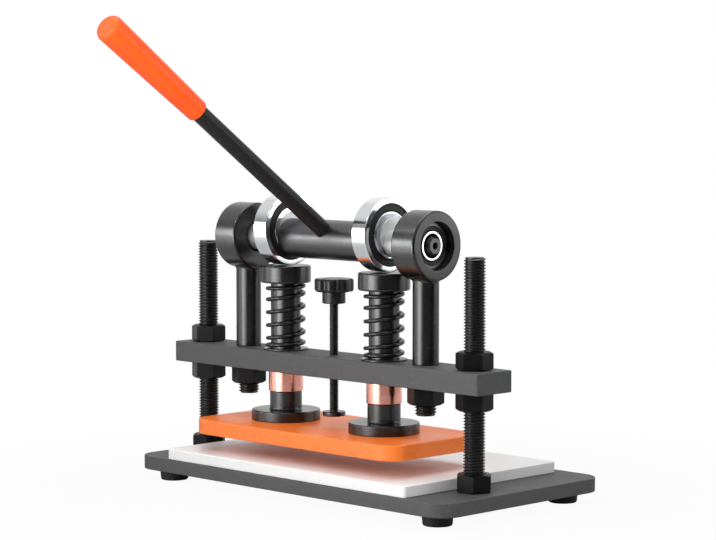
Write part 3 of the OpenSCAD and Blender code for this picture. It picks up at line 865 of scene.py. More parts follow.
def hexagon_nut(flats: float, low: float, high: float, bore: float, turn: float, steps: int = 144) -> Shell:
    """A hexagon nut along Z with both faces chamfered.

    Args:
        flats: width across the flats.
        low: bottom of the nut.
        high: top of the nut.
        bore: diameter of its hole.
        turn: direction of a corner, in degrees.
        steps: points round the axis.

    Returns:
        The nut.
    """
    shell = Shell()
    face_r, lip, corner = 0.47 * flats, 0.8 * MM, 0.6 * MM
    slope = math.tan(math.radians(30))
    rows: list[list[int]] = [[] for _ in range(8)]
    for angle in turns(steps):
        side, near = hexagon_radius(angle, flats, corner)
        cut = (side - face_r) * slope
        half = [(bore / 2, lip, 0), (bore / 2 + lip, 0, 0.6), (face_r, 0, 0.5), (side, cut, near)]
        outline = [(r, low + rise, worn) for r, rise, worn in half]
        outline += [(r, high - rise, worn) for r, rise, worn in reversed(half)]
        for row, (r, z, worn) in zip(rows, outline):
            row.append(shell.point(polar(r, angle + math.radians(turn), z), worn, r))
    shell.loft(rows, closed=True)
    return shell


def threaded_bar(
    diameter: float, pitch: float, low: float, high: float, chamfer: float, steps: int = 48
) -> Shell:
    """A bar along Z with a right-hand thread and chamfered ends.

    Args:
        diameter: outer diameter of the thread.
        pitch: rise of one turn.
        low: bottom of the bar.
        high: top of the bar.
        chamfer: chamfer at both ends.
        steps: points of one turn.

    Returns:
        The bar.
    """
    crest = diameter / 2
    root = crest - THREAD_DEPTH * pitch
    section = ((0.0, crest), (0.125, crest), (0.5, root), (0.625, root))  # share of the pitch, radius
    rounds = math.ceil((high - low) / pitch) + 2
    work = bmesh.new()
    grid = []
    for row in range(rounds * len(section)):
        share, radius = section[row % len(section)]
        grid.append([])
        for k, angle in enumerate(turns(steps)):
            z = low + (row // len(section) + share + k / steps - 1) * pitch
            r = max(min(radius, crest - chamfer + min(z - low, high - z)), root / 2)
            grid[-1].append(work.verts.new(polar(r, angle, z)))
    for row in range(len(grid) - 1):
        for k in range(steps - 1):
            work.faces.new((grid[row][k], grid[row][k + 1], grid[row + 1][k + 1], grid[row + 1][k]))
        seam = row + len(section)
        if seam + 1 < len(grid):
            work.faces.new((grid[row][-1], grid[seam][0], grid[seam + 1][0], grid[row + 1][-1]))
    for place, normal in ((low, -1), (high, 1)):
        everything = [*work.verts, *work.edges, *work.faces]
        cut = bmesh.ops.bisect_plane(
            work, geom=everything, plane_co=(0, 0, place), plane_no=(0, 0, normal), clear_outer=True
        )
        rim = [e for e in cut["geom_cut"] if isinstance(e, bmesh.types.BMEdge)]
        bmesh.ops.holes_fill(work, edges=rim)
    work.verts.index_update()
    shell = Shell()
    for vert in work.verts:
        radius = math.hypot(vert.co.x, vert.co.y)
        shell.point(vert.co.copy(), max(0.0, min(1.0, (radius - root) / (crest - root))) ** 3, vert.co.z)
    for face in work.faces:
        shell.face(v.index for v in face.verts)
    work.free()
    return shell


def swept_wire(
    path: Callable[[float], Vector], ends: float, rings: int, radius: float, sides: int = 14
) -> Shell:
    """A round wire along a path.

    Args:
        path: place along the wire for a value from 0 to ends.
        ends: value at the far end of the wire.
        rings: rings of points along the wire.
        radius: radius of the wire.
        sides: points of one ring.

    Returns:
        The wire, closed at both ends.
    """
    shell = Shell()
    loops = []
    step = ends / (rings - 1)
    for i in range(rings):
        value = i * step
        centre = path(value)
        along = (path(min(value + step / 2, ends)) - path(max(value - step / 2, 0))).normalized()
        up = Vector((centre.x, centre.y, 0)).normalized().cross(along).normalized()
        outward = along.cross(up)
        places = [centre + radius * (math.cos(a) * outward + math.sin(a) * up) for a in turns(sides)]
        loops.append([shell.point(place, 0.0, value) for place in places])
    shell.loft(loops)
    shell.face(reversed(loops[0]))
    shell.face(loops[-1])
    return shell


# The frame


@dataclass(frozen=True)
class Space:
    """Box that a node of the frame takes up at rest.

    Attributes:
        low: lowest corner.
        high: highest corner.
    """

    low: Vector
    high: Vector

    @classmethod
    def of(cls, node: str) -> Space:
        """Box of a node."""
        return cls(*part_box(node))

    @property
    def middle(self) -> Vector:
        """Centre of the box."""
        return (self.low + self.high) / 2

    @property
    def size(self) -> Vector:
        """Lengths of the box's sides."""
        return self.high - self.low

    @property
    def reach(self) -> tuple[float, float]:
        """Distances of its near and its far end from the middle of the press, along the shaft."""
        near, far = sorted((abs(self.low.x), abs(self.high.x)))
        return near, far

    @property
    def stand(self) -> Matrix:
        """Place of a piece that stands along Z through the middle of the box."""
        return Matrix.Translation((self.middle.x, self.middle.y, 0))


def placed(name: str, data: bpy.types.ID) -> bpy.types.Object:
    """Adds an object to the scene and returns it."""
    made = bpy.data.objects.new(name, data)
    bpy.context.scene.collection.objects.link(made)
    return made


class Press:
    """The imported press: which body and which slot each node has, and the pieces that dress it."""

    def __init__(self, frame: dict) -> None:
        """Reads the frame.
        """
        self.nodes: dict[str, bpy.types.Object] = frame["nodes"]
        bodies = frame["record"]["behaviour"]["bodies"]
        self.body_of = {node: body for body, nodes in bodies.items() for node in nodes}
        self.slot_of = {part["node"]: part["material_slot"] for part in frame["record"]["subparts"]}

    def replace(self, node: str, shell: Shell, *finishes: Finish, even: bool = True) -> bpy.types.Object:
        """Puts a modelled piece in the place of a node.

        Args:
            node: the node that the piece stands for.
            shell: shape of the piece.
            finishes: finishes of the piece, in the order of its slots.
            even: True to shade flat faces flat up to their rounded edges.

        Returns:
            The piece.
        """
        name = f"{node}_made"
        piece = placed(name, shell.mesh(name))
        for finish in finishes:
            piece.data.materials.append(finish.material())
        if even:
            piece.modifiers.new("even_normals", "WEIGHTED_NORMAL").keep_sharp = True
        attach(piece, self.body_of[node])
        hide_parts(node)
        LOG.info("%s: %d faces, %s", name, len(piece.data.polygons), finishes[0].name)
        return piece

    def dress(self, node: str, finish: Finish) -> None:
        """Gives a node that stays as it is a finish.

        Args:
            node: the node.
            finish: its finish.
        """
        slots = self.nodes[node].data.materials
        slots.clear()
        slots.append(finish.material())
        LOG.info("%s: kept, %s", node, finish.name)


def along_shaft(side: Side, y: float, z: float) -> Matrix:
    """Place of a piece turned round X, with its Z pointing outwards on one side.

    Args:
        side: side of the press.
        y: place of the axis.
        z: height of the axis.

    Returns:
        The matrix.
    """
    return Matrix.Translation((0, y, z)) @ Matrix.Rotation(side.value * math.pi / 2, 4, "Y")


# Sub-assemblies


@dataclass
class Base:
    """Base plate with its feet and the cutting board.

    Attributes:
        press: the press.
        corner: corner radius of the base plate.
        edge: rounding of the base plate's edges.
        board_corner: corner radius of the board.
        board_edge: rounding of the board's edges.
        recess_d: diameter of the recess under a foot.
        recess_h: depth of the recess under a foot.
        foot_taper: how much narrower a foot is at the table.
        screw_r: radius of the hole for a foot's screw.
        clearance: room round the columns.
    """

    press: Press
    corner: float = 20 * MM
    edge: float = 0.9 * MM
    board_corner: float = 3 * MM
    board_edge: float = 0.8 * MM
    recess_d: float = 12 * MM
    recess_h: float = 6 * MM
    foot_taper: float = 2 * MM
    screw_r: float = 2.6 * MM
    clearance: float = 0.04 * MM

    def build(self) -> None:
        """Makes the base plate, the feet and the board."""
        space = Space.of("base_plate")
        columns = [Space.of(side.node("column")) for side in Side]
        holes = [Hole.straight(c.middle, c.size.x / 2 + self.clearance, space) for c in columns]
        self.press.replace("base_plate", plate(space, self.corner, self.edge, holes), COAT_GREY)
        board = plate(Space.of("cutting_board"), self.board_corner, self.board_edge)
        self.press.replace("cutting_board", board, BOARD_WHITE)
        for side in Side:
            for end in ("front", "rear"):
                node = f"{end}_{side.word}_foot"
                self.press.replace(node, self.foot(Space.of(node)), FOOT_RUBBER)
        self.press.dress("foot_screws", ZINC)

    def foot(self, space: Space) -> Shell:
        """A tapered rubber foot with a recess for its screw.

        Args:
            space: box of the foot.

        Returns:
            The foot, in place.
        """
        top, r, recess_r = space.high.z, space.size.x / 2, self.recess_d / 2
        corners = [
            (self.screw_r, top, 0), (r, top, 0.8 * MM), (r - self.foot_taper / 2, 0, 1.6 * MM),
            (recess_r, 0, 0.6 * MM), (recess_r, self.recess_h, 0.5 * MM), (self.screw_r, self.recess_h, 0),
        ]
        return lathe(rounded(corners, closed=True), closed=True).moved(space.stand)


@dataclass
class Columns:
    """The two threaded columns and the nuts that hold the beam and the base.

    Attributes:
        press: the press.
        pitch: pitch of the thread.
        chamfer: chamfer at the ends of the columns.
        flats: width of the nuts across the flats.
        base_turn: direction of a corner of the nuts on the base, in degrees.
        beam_turn: direction of a corner of the nuts on the beam, in degrees.
    """

    press: Press
    pitch: float = 2.5 * MM
    chamfer: float = 1.5 * MM
    flats: float = 27 * MM
    base_turn: float = 10.0
    beam_turn: float = -24.0

    def build(self) -> None:
        """Makes the columns and their nuts."""
        columns = []
        for side in Side:
            node = side.node("column")
            space = Space.of(node)
            rod = threaded_bar(space.size.x, self.pitch, space.low.z, space.high.z, self.chamfer)
            self.press.replace(node, rod.moved(space.stand), BLACK_THREAD)
            columns.append(space)
        self.nuts("base_nuts", columns, self.base_turn)
        self.nuts("lower_nuts", columns, self.beam_turn)
        self.nuts("upper_nuts", columns, self.beam_turn)

    def nuts(self, node: str, bolts: Sequence[Space], turn: float) -> None:
        """Makes the nuts of one node.

        Args:
            node: the node.
            bolts: boxes of the threaded pieces that the nuts sit on.
            turn: direction of a corner, in degrees.
        """
        space = Space.of(node)
        shell = Shell()
        for bolt in bolts:
            nut = hexagon_nut(self.flats, space.low.z, space.high.z, bolt.size.x, turn)
            shell.joined(nut.moved(bolt.stand))
        self.press.replace(node, shell, NUT_BLACK)


@dataclass
class Beam:
    """Cross beam with its row of holes.

    Attributes:
        press: the press.
        corner: corner radius in plan.
        edge: rounding of the edges.
        clearance: room round what passes through the holes.
    """

    press: Press
    corner: float = 1.6 * MM
    edge: float = 0.9 * MM
    clearance: float = 0.05 * MM

    def build(self) -> None:
        """Makes the beam."""
        space = Space.of("beam")
        through = [Space.of(side.node(name)) for side in Side for name in ("column", "bush")]
        stub_d, screw = through[0].size.x, Space.of("stop_screw")
        widths = [(passing.middle, passing.size.x) for passing in through]
        widths += [(Space.of(side.node("post")).middle, stub_d) for side in Side]
        widths.append((screw.middle, screw.size.x))
        holes = [Hole.straight(middle, width / 2 + self.clearance, space) for middle, width in widths]
        self.press.replace("beam", plate(space, self.corner, self.edge, holes), COAT_GREY)


@dataclass
class Posts:
    """Eye posts with their threaded stubs and nuts.

    Attributes:
        press: the press.
        post_d: diameter of a post.
        stub_d: diameter of its threaded stub.
        eye_fillet: rounding of the eye's rims.
        bearing_d: diameter of the bearing's seat.
        neck_bore: diameter of the hole behind the bearing.
        bearing_w: width of the bearing with its recess.
        bead: size of the weld bead between post and eye.
        shank_end: end of the post below the eye's axis, as a share of the eye's radius.
    """

    THREAD_SLOT, RIM_SLOT = 1, 2

    press: Press
    post_d: float = 22 * MM
    stub_d: float = 18 * MM
    eye_fillet: float = 2 * MM
    bearing_d: float = 40.08 * MM
    neck_bore: float = 28 * MM
    bearing_w: float = 18 * MM
    bead: float = 1.8 * MM
    shank_end: float = 0.8

    def build(self, columns: Columns) -> None:
        """Makes both posts and their nuts.

        Args:
            columns: the columns, whose thread and nuts the posts share.
        """
        top = Space.of("beam").high.z
        half_stub = Vector((self.stub_d / 2, self.stub_d / 2, 0))
        stubs = []
        for side in Side:
            node = side.node("post")
            space = Space.of(node)
            eye_r = space.size.y / 2
            axis_z = space.high.z - eye_r
            shank = bar(self.post_d, top, axis_z - self.shank_end * eye_r, 0.4 * MM)
            stub = threaded_bar(self.stub_d, columns.pitch, space.low.z, top, columns.chamfer)
            bead = self.weld(eye_r, space.size.x / 2).moved(Matrix.Translation((0, 0, axis_z)))
            eye = self.eye(eye_r, *space.reach).moved(along_shaft(side, space.middle.y, axis_z))
            eye.joined(shank.joined(stub.slotted(self.THREAD_SLOT), bead).moved(space.stand))
            self.press.replace(node, eye, BLACK_PAINT, BLACK_THREAD, EYE_STEEL)
            stubs.append(Space(space.middle - half_stub, space.middle + half_stub))
        columns.nuts("post_nuts", stubs, columns.beam_turn)

    def eye(self, r: float, inner: float, outer: float) -> Shell:
        """Ring of the eye, turned round Z and pointing outwards.

        Args:
            r: outer radius of the eye.
            inner: its inner face along the shaft.
            outer: its outer face along the shaft.

        Returns:
            The ring, at its place along the shaft.
        """
        neck, seat, shoulder = self.neck_bore / 2, self.bearing_d / 2, outer - self.bearing_w
        corners = [
            (neck, shoulder, 0), (neck, inner, 0.8 * MM), (r, inner, self.eye_fillet),
            (r, outer, self.eye_fillet), (seat, outer, 0.4 * MM), (seat, shoulder, 0),
        ]
        shell = lathe(rounded(corners, closed=True, steps=5), closed=True, steps=128)
        return shell.marked(self.RIM_SLOT, lambda reach, z: reach > r - 0.1 * self.eye_fillet)

    def weld(self, eye_r: float, half_w: float) -> Shell:
        """Bead round the top of the post, where it meets the eye.

        Args:
            eye_r: outer radius of the eye.
            half_w: half the eye's width.

        Returns:
            The bead, with the eye's axis through the origin along X.
        """
        sides, curve_steps, ripple, fullness = 96, 6, 0.12, 0.6
        post_r = self.post_d / 2
        shell = Shell()
        rows: list[list[int]] = [[] for _ in range(curve_steps + 2)]

        def under(reach: float, angle: float) -> Vector:
            """Point of the eye's underside at a distance from the post's axis."""
            spot = polar(reach, angle)
            r = eye_r - max(0.0, abs(spot.x) - (half_w - self.eye_fillet))
            return polar(reach, angle, -math.sqrt(r**2 - spot.y**2))

        for angle in turns(sides):
            size = self.bead * (1 + ripple * math.sin(9 * angle) * math.sin(4 * angle + 1))
            knee, end = under(post_r, angle), under(post_r + size, angle)
            start = knee - Vector((0, 0, size))
            for i in range(curve_steps + 1):
                t = i / curve_steps
                curve = start * (1 - t) ** 2 + knee * (2 * t * (1 - t) * fullness) + end * t**2
                curve += (start + end) * (t * (1 - t) * (1 - fullness))
                rows[i].append(shell.point(curve, 0.2))
            rows[-1].append(shell.point(polar(post_r - size, angle, knee.z + size)))
        shell.loft(rows, closed=True)
        return shell


@dataclass
class Bearing:
    """A sealed ball bearing on the shaft's line, dressed ring by ring.

    Attributes:
        press: the press.
        side: side of the press.
        name: first word of its nodes.
        outer_finish: finish of its outer ring.
        wall: wall of its rings.
        fillet: rounding of its edges.
        bore_chamfer: chamfer at the bore of its inner ring.
        seal_sink: depth of the seals behind the faces.
    """

    press: Press
    side: Side
    name: str
    outer_finish: Finish
    wall: float
    fillet: float = 0.9 * MM
    bore_chamfer: float = 0.3 * MM
    seal_sink: float = 0.5 * MM

    def __post_init__(self) -> None:
        """Reads the bearing's place and radii from the frame."""
        outer = Space.of(self.node("outer_ring"))
        self.low, self.high = outer.reach
        self.place = along_shaft(self.side, outer.middle.y, outer.middle.z)
        self.rim_r = outer.size.z / 2
        self.groove_r = self.rim_r - self.wall
        self.land_r = Space.of(self.node("inner_ring")).size.z / 2
        self.bore_r = self.land_r - self.wall

    def build(self) -> None:
        """Makes the rings and the seals, and dresses the balls."""
        made = {
            "outer_ring": (self.outer_ring(), self.outer_finish),
            "inner_ring": (self.inner_ring(), BEARING_STEEL, PAINTED_SHADE_RING),
            "seals": (self.seals(), SEAL_RUBBER),
        }
        for part, (shell, *finishes) in made.items():
            self.press.replace(self.node(part), shell.moved(self.place), *finishes)
        self.press.dress(self.node("balls"), BEARING_STEEL)

    def node(self, part: str) -> str:
        """Name of one of the bearing's nodes."""
        return self.side.node(f"{self.name}_{part}")

    def turned(self, corners: Sequence[Corner], steps: int = 4) -> Shell:
        """A ring with these corners, each rounded in so many steps, turned round Z."""
        return lathe(rounded(corners, closed=True, steps=steps), closed=True, steps=144)

    def outer_ring(self) -> Shell:
        """Outer ring with rounded edges."""
        a, b, near, far = self.groove_r, self.rim_r, 0.3 * MM, self.fillet
        corners = [(a, self.low, near), (b, self.low, far), (b, self.high, far), (a, self.high, near)]
        return self.turned(corners)

    def inner_ring(self) -> Shell:
        """Inner ring with painted shade on the chamfers at its bore, a near-black finish for the shadow in
        the groove there.
        """
        painted_shade_slot, near, far, cut = 1, 0.1 * MM, 0.3 * MM, self.bore_chamfer
        a, b = self.bore_r, self.land_r
        corners = [
            (a, self.low + cut, 0), (a + cut, self.low, near), (b, self.low, far),
            (b, self.high, far), (a + cut, self.high, near), (a, self.high - cut, 0),
        ]
        # the chamfers at the bore get the painted-shade finish, which darkens the groove as shade would
        return self.turned(corners).marked(painted_shade_slot, lambda r, z: r < a + 0.9 * cut)

    def seals(self) -> Shell:
        """Both seals, each with a raised rim and a shallow hollow."""
        inner_gap, outer_gap, hollow, seal_t, fine = 0.25 * MM, 0.04 * MM, 0.45 * MM, 1.6 * MM, 0.15 * MM
        a, b = self.land_r + inner_gap, self.groove_r - outer_gap
        width = b - a
        shell = Shell()
        for face, way in ((self.low, 1), (self.high, -1)):
            top, dip, back = (face + way * deep for deep in (self.seal_sink, self.seal_sink + hollow, seal_t))
            corners = [
                (a, back, 0), (a, dip, fine), (a + 0.14 * width, top, fine), (a + 0.26 * width, dip, fine),
                (b - 0.22 * width, dip, fine), (b - 0.12 * width, top, fine), (b, top, fine), (b, back, 0),
            ]
            shell.joined(self.turned(corners, steps=3))
        return shell


@dataclass
class EccentricShaft:
    """Dark turned shaft with ground necks and with ground journals that stand off its axis.

    Attributes:
        press: the press.
        middle_d: diameter between the rollers.
        journal_d: diameter under a roller.
        neck_d: diameter between a roller and an eye.
        end_d: diameter in an eye's bearing.
        throw: distance of the journals' axis above the shaft's.
        tip_d: diameter of the face at each end, inside its chamfer.
        hole_d: diameter of the centre holes.
        journal_extra: length of a journal beyond its roller.
        hole_deep: depth of the centre holes.
        overlap: how far a neck and an end run into what they stand on.
    """

    # slot 2 is painted shade: a near-black finish on the end chamfers and in the centre holes
    GROUND_SLOT, DARK_SLOT = 1, 2

    press: Press
    middle_d: float = 34 * MM
    journal_d: float = 29.92 * MM
    neck_d: float = 24 * MM
    end_d: float = 16.92 * MM
    throw: float = 7 * MM
    tip_d: float = 12.5 * MM
    hole_d: float = 5 * MM
    journal_extra: float = 3.5 * MM
    hole_deep: float = 7 * MM
    overlap: float = 0.2 * MM

    def build(self) -> None:
        """Makes the shaft and dresses its circlips."""
        tip = Space.of("eccentric_shaft").high.x
        axis = Space.of("left_eye_outer_ring").middle
        middle_r = self.middle_d / 2
        shell = Shell()
        for side in Side:
            roller_low, roller_high = Space.of(side.node("roller_outer_ring")).reach
            seat = Space.of(side.node("eye_outer_ring")).reach[0]
            journal_end = roller_high + self.journal_extra
            corners = [(0, 0, 0), (middle_r, 0, 0), (middle_r, roller_low, 0.8 * MM), (0, roller_low, 0)]
            half = lathe(rounded(corners)[1:], steps=128)
            journal = bar(self.journal_d, roller_low, journal_end, 0.5 * MM).slotted(self.GROUND_SLOT)
            neck = bar(self.neck_d, journal_end - self.overlap, seat, 0.5 * MM).slotted(self.GROUND_SLOT)
            neck.joined(self.end(seat - self.overlap, tip))
            on_axis, off_axis = (along_shaft(side, axis.y, axis.z + lift) for lift in (0, self.throw))
            shell.joined(half.moved(on_axis), journal.moved(off_axis), neck.moved(on_axis))
        self.press.replace("eccentric_shaft", shell, SHAFT_DARK, GROUND_STEEL, PAINTED_SHADE_RING)
        self.press.dress("roller_circlips", ZINC)

    def end(self, low: float, high: float) -> Shell:
        """End of the shaft with its centre hole, whose chamfer and hole wall carry painted shade.

        Args:
            low: where the end begins along the shaft.
            high: tip of the shaft.

        Returns:
            The end, turned round Z.
        """
        hole, tip, end_r = self.hole_d / 2, self.tip_d / 2, self.end_d / 2
        fine, cone, deep = 0.2 * MM, 0.6 * hole, high - self.hole_deep
        corners = [
            (0, low, 0), (end_r, low, 0), (end_r, high - (end_r - tip), 0), (tip, high, fine),
            (1.2 * hole, high, fine), (hole, high - cone, fine), (hole, deep, 0), (0, deep - cone, 0),
        ]
        shell = lathe(rounded(corners))
        # painted shade: the end's chamfer and the wall of the centre hole get a near-black finish that stands
        # in for the shadow there
        return shell.marked(self.DARK_SLOT, lambda r, z: r > 1.02 * tip or (r < hole and z > low + MM))


@dataclass
class Lever:
    """Lever rod with its moulded grip.

    Attributes:
        press: the press.
        tilt: rise of the resting lever above the horizontal, in degrees.
        length: length from the shaft's axis to the end of the grip.
        rod_d: diameter of the rod.
        grip_len: length of the grip.
        grip_d: diameter of the grip at its free end.
        neck_d: diameter of the grip where the rod enters.
        rod_start: where the rod begins, from the shaft's axis.
        cover: length of the grip beyond the rod.
        dome: rounding of the grip's free end.
    """

    press: Press
    tilt: float = 35.7
    length: float = 304 * MM
    rod_d: float = 14.5 * MM
    grip_len: float = 116 * MM
    grip_d: float = 23 * MM
    neck_d: float = 18.5 * MM
    rod_start: float = 12 * MM
    cover: float = 8 * MM
    dome: float = 7 * MM

    def build(self) -> None:
        """Makes the rod and the grip."""
        axis = Space.of("left_eye_outer_ring").middle
        turn = Matrix.Rotation(math.radians(90 - self.tilt), 4, "X")
        place = Matrix.Translation((0, axis.y, axis.z)) @ turn
        rod = bar(self.rod_d, self.rod_start, self.length - self.cover, 0.6 * MM)
        self.press.replace("lever_rod", rod.moved(place), LEVER_BLACK)
        self.press.replace("lever_grip", self.grip().moved(place), GRIP_ORANGE)

    def grip(self) -> Shell:
        """Grip with a rounded lip, a slow swell and a domed end, along Z."""
        start, shoulder = self.length - self.grip_len, self.length - self.dome
        deep, lip, bulge, steps = start + 6 * MM, start + 3 * MM, 0.85, 12
        bore, neck_r, grip_r = self.rod_d / 2 + 0.03 * MM, self.neck_d / 2, self.grip_d / 2
        marks = [Mark(0, deep)]
        marks += rounded([
            (bore, deep, 0), (bore, start, 0.5 * MM), (neck_r, start, 1.2 * MM), (neck_r + 0.05 * MM, lip, 0)
        ])
        shares = [k / steps for k in range(1, steps + 1)]
        for share in shares:
            swell = neck_r + (grip_r - neck_r) * share**bulge
            marks.append(Mark(swell, lip + (shoulder - lip) * share))
        for share in shares:
            bend = polar(self.dome, math.pi / 2 * share)
            marks.append(Mark(grip_r - self.dome + bend.x, shoulder + bend.y, 0.3))
        return lathe([*marks, Mark(0, self.length)])


@dataclass
class Plunger:
    """One plunger: cap, rod, spring, washer, guide bush and flange.

    Attributes:
        press: the press.
        side: side of the press.
        rod_d: diameter of the rod.
        wire_d: diameter of the spring's wire.
        end_pitch: pitch of the closed end turns.
        open_turns: open turns of the spring.
        hub_d: diameter of the hub on the flange.
        flange_t: thickness of the flange.
        travel: longest travel of the press plate; not used.
        wire_start: direction of the wire's lower end, in degrees.
    """

    press: Press
    side: Side
    rod_d: float = 26 * MM
    wire_d: float = 3.5 * MM
    end_pitch: float = 4.3 * MM
    open_turns: int = 4
    hub_d: float = 28 * MM
    flange_t: float = 9 * MM
    travel: float = 10.5 * MM
    wire_start: float = 150.0

    def build(self) -> None:
        """Makes the plunger's pieces."""
        parts = ("cap", "plunger_rod", "spring_seat", "bush", "flange")
        cap, rod, seat, bush, flange = (Space.of(self.side.node(part)) for part in parts)
        seat_bore, bush_bore = self.rod_d + 0.6 * MM, self.rod_d + 0.1 * MM
        shells = (
            bar(cap.size.x, cap.low.z, cap.high.z, 1.6 * MM),
            bar(self.rod_d, flange.high.z - MM, rod.high.z, 0.5 * MM),
            tube(seat.size.x, seat_bore, seat.low.z, seat.high.z, 0.5 * MM),
            tube(bush.size.x, bush_bore, bush.low.z, bush.high.z, 0.7 * MM),
            self.flange(flange),
        )
        for part, shell in zip(parts, shells):
            finish = BRONZE if part == "bush" else BLACK_OXIDE
            self.press.replace(self.side.node(part), shell.moved(cap.stand), finish)
        self.spring(seat.high.z, cap.low.z, cap.stand)

    def flange(self, space: Space) -> Shell:
        """Flange and hub in one turned piece, with a fillet between them.

        Args:
            space: box of the flange.

        Returns:
            The flange, turned round Z.
        """
        r, hub = space.size.x / 2, self.hub_d / 2
        step = space.low.z + self.flange_t
        corners = [
            (0, space.low.z, 0), (r, space.low.z, 0.4 * MM), (r, step, 1.0 * MM), (hub, step, 1.6 * MM),
            (hub, space.high.z, 0.8 * MM), (0, space.high.z, 0),
        ]
        return lathe(rounded(corners), steps=128)

    def spring(self, low: float, high: float, place: Matrix) -> None:
        """Makes the spring as a mesh of its own.

        Args:
            low: top of the washer under it.
            high: bottom of the cap.
            place: place of the plunger's axis.
        """
        gap, rest, ease, turn_steps = 1 * MM, 0.05 * MM, 0.35, 48
        wire_r = self.wire_d / 2
        mean_r = self.rod_d / 2 + gap + wire_r
        all_turns = self.open_turns + 2
        open_pitch = (high - low - 2 * (wire_r + rest) - 2 * self.end_pitch) / self.open_turns

        def open_share(turn: float) -> float:
            """Length of open turns that lie before a turn, with the pitch eased in and out."""
            total = 0.0
            for start, sign in ((1.0, 1), (1.0 + self.open_turns, -1)):
                past = min(max((turn - start + ease) / (2 * ease), 0.0), 1.0)
                total += sign * (2 * ease * (past**3 - past**4 / 2) + max(turn - start - ease, 0.0))
            return total

        def path(turn: float) -> Vector:
            """Middle of the wire."""
            opened = open_share(turn)
            z = low + wire_r + rest + self.end_pitch * (turn - opened) + open_pitch * opened
            return polar(mean_r, math.radians(self.wire_start) + 2 * math.pi * turn, z)

        wire = swept_wire(path, all_turns, all_turns * turn_steps + 1, wire_r)
        piece = self.press.replace(self.side.node("spring"), wire.moved(place), SPRING_BLACK, even=False)
        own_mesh(piece)


@dataclass
class PressPlate:
    """Orange press plate with its countersunk screws.

    Attributes:
        press: the press.
        corner: corner radius in plan.
        edge: rounding of the edges.
        screw_circle: diameter of the circle of screws under each flange.
        screw_d: diameter of a screw.
        head_d: diameter of a screw's head.
    """

    press: Press
    corner: float = 18 * MM
    edge: float = 1.1 * MM
    screw_circle: float = 44 * MM
    screw_d: float = 6.08 * MM
    head_d: float = 12.08 * MM

    def build(self) -> None:
        """Makes the plate and dresses its screws."""
        space = Space.of("press_plate")
        head_r, screw_r = self.head_d / 2, self.screw_d / 2
        low, high = space.low.z, space.high.z
        rows = ((head_r, low), (screw_r, low + head_r - screw_r), (screw_r, high))
        holes = []
        for side in Side:
            middle = Space.of(side.node("flange")).middle
            for k in range(4):
                spot = middle + polar(self.screw_circle / 2, math.pi / 4 + math.pi / 2 * k)
                holes.append(Hole(spot.x, spot.y, rows))
        self.press.replace("press_plate", plate(space, self.corner, self.edge, holes), PLATE_ORANGE)
        self.press.dress("plate_screws", ZINC)


@dataclass
class StopScrew:
    """Stop screw with its star knob and foot disc.

    Attributes:
        press: the press.
        pitch: pitch of the screw's thread.
        lobes: lobes round the knob.
        hollow: depth of the hollows between the lobes.
        hub_d: diameter of the hub under the knob.
        hub_h: height of the hub.
        edge: rounding of the lobes.
        crown: rise of the knob's top above the lobes.
        pivot_d: diameter of the screw's pivot in its foot.
        pinch: how narrow the hollows are.
        steps: points round the knob.
    """

    press: Press
    pitch: float = 1.25 * MM
    lobes: int = 7
    hollow: float = 2.5 * MM
    hub_d: float = 20 * MM
    hub_h: float = 10 * MM
    edge: float = 2.2 * MM
    crown: float = 0.8 * MM
    pivot_d: float = 5 * MM
    pinch: float = 2.2
    steps: int = 252

    def build(self) -> None:
        """Makes the screw, the knob and the foot."""
        foot, screw, knob = (Space.of(f"stop_{part}") for part in ("foot", "screw", "knob"))
        rod = threaded_bar(screw.size.x, self.pitch, foot.high.z, screw.high.z, 0.6 * MM, steps=32)
        rod.joined(bar(self.pivot_d, screw.low.z, foot.high.z + MM, 0.3 * MM, steps=48))
        disc = bar(foot.size.x, foot.low.z, foot.high.z, 0.9 * MM)
        star = self.star(knob)
        made = {"screw": (rod, BLACK_THREAD), "foot": (disc, BLACK_OXIDE), "knob": (star, KNOB_BLACK)}
        for part, (shell, finish) in made.items():
            self.press.replace(f"stop_{part}", shell.moved(foot.stand), finish)

    def star(self, space: Space) -> Shell:
        """Star knob with its hub.

        Args:
            space: box of the knob.

        Returns:
            The knob, turned round Z.
        """
        low, top = space.low.z + self.hub_h, space.high.z
        shell = Shell()
        rings = [[shell.point(Vector((0, 0, low)))]]
        for inset, z in edge_rows(low, top - self.crown, self.edge, steps=6):
            worn = 0.4 * (1 - abs(2 * (z - low) / (top - low) - 1) ** 4)
            rings.append([])
            for angle in turns(self.steps):
                r = self.lobe_radius(angle, space.size.y / 2) - inset
                rings[-1].append(shell.point(polar(r, angle, z), worn, r))
        for share, drop in ((0.72, 0.35 * MM), (0.4, 0.05 * MM)):
            outer = [shell.points[i] for i in rings[-1]]
            rings.append([shell.point(Vector((p.x * share, p.y * share, top - drop))) for p in outer])
        rings.append([shell.point(Vector((0, 0, top)))])
        shell.loft(rings)
        return shell.joined(bar(self.hub_d, space.low.z, low + MM, 0.8 * MM))

    def lobe_radius(self, angle: float, outer: float) -> float:
        """Distance from the axis to the side of the star.

        Args:
            angle: direction, with a lobe at 0.
            outer: distance at the middle of a lobe.

        Returns:
            The distance.
        """
        wave = (1 - math.cos(self.lobes * angle)) / 2
        return outer - self.hollow * wave**self.pinch


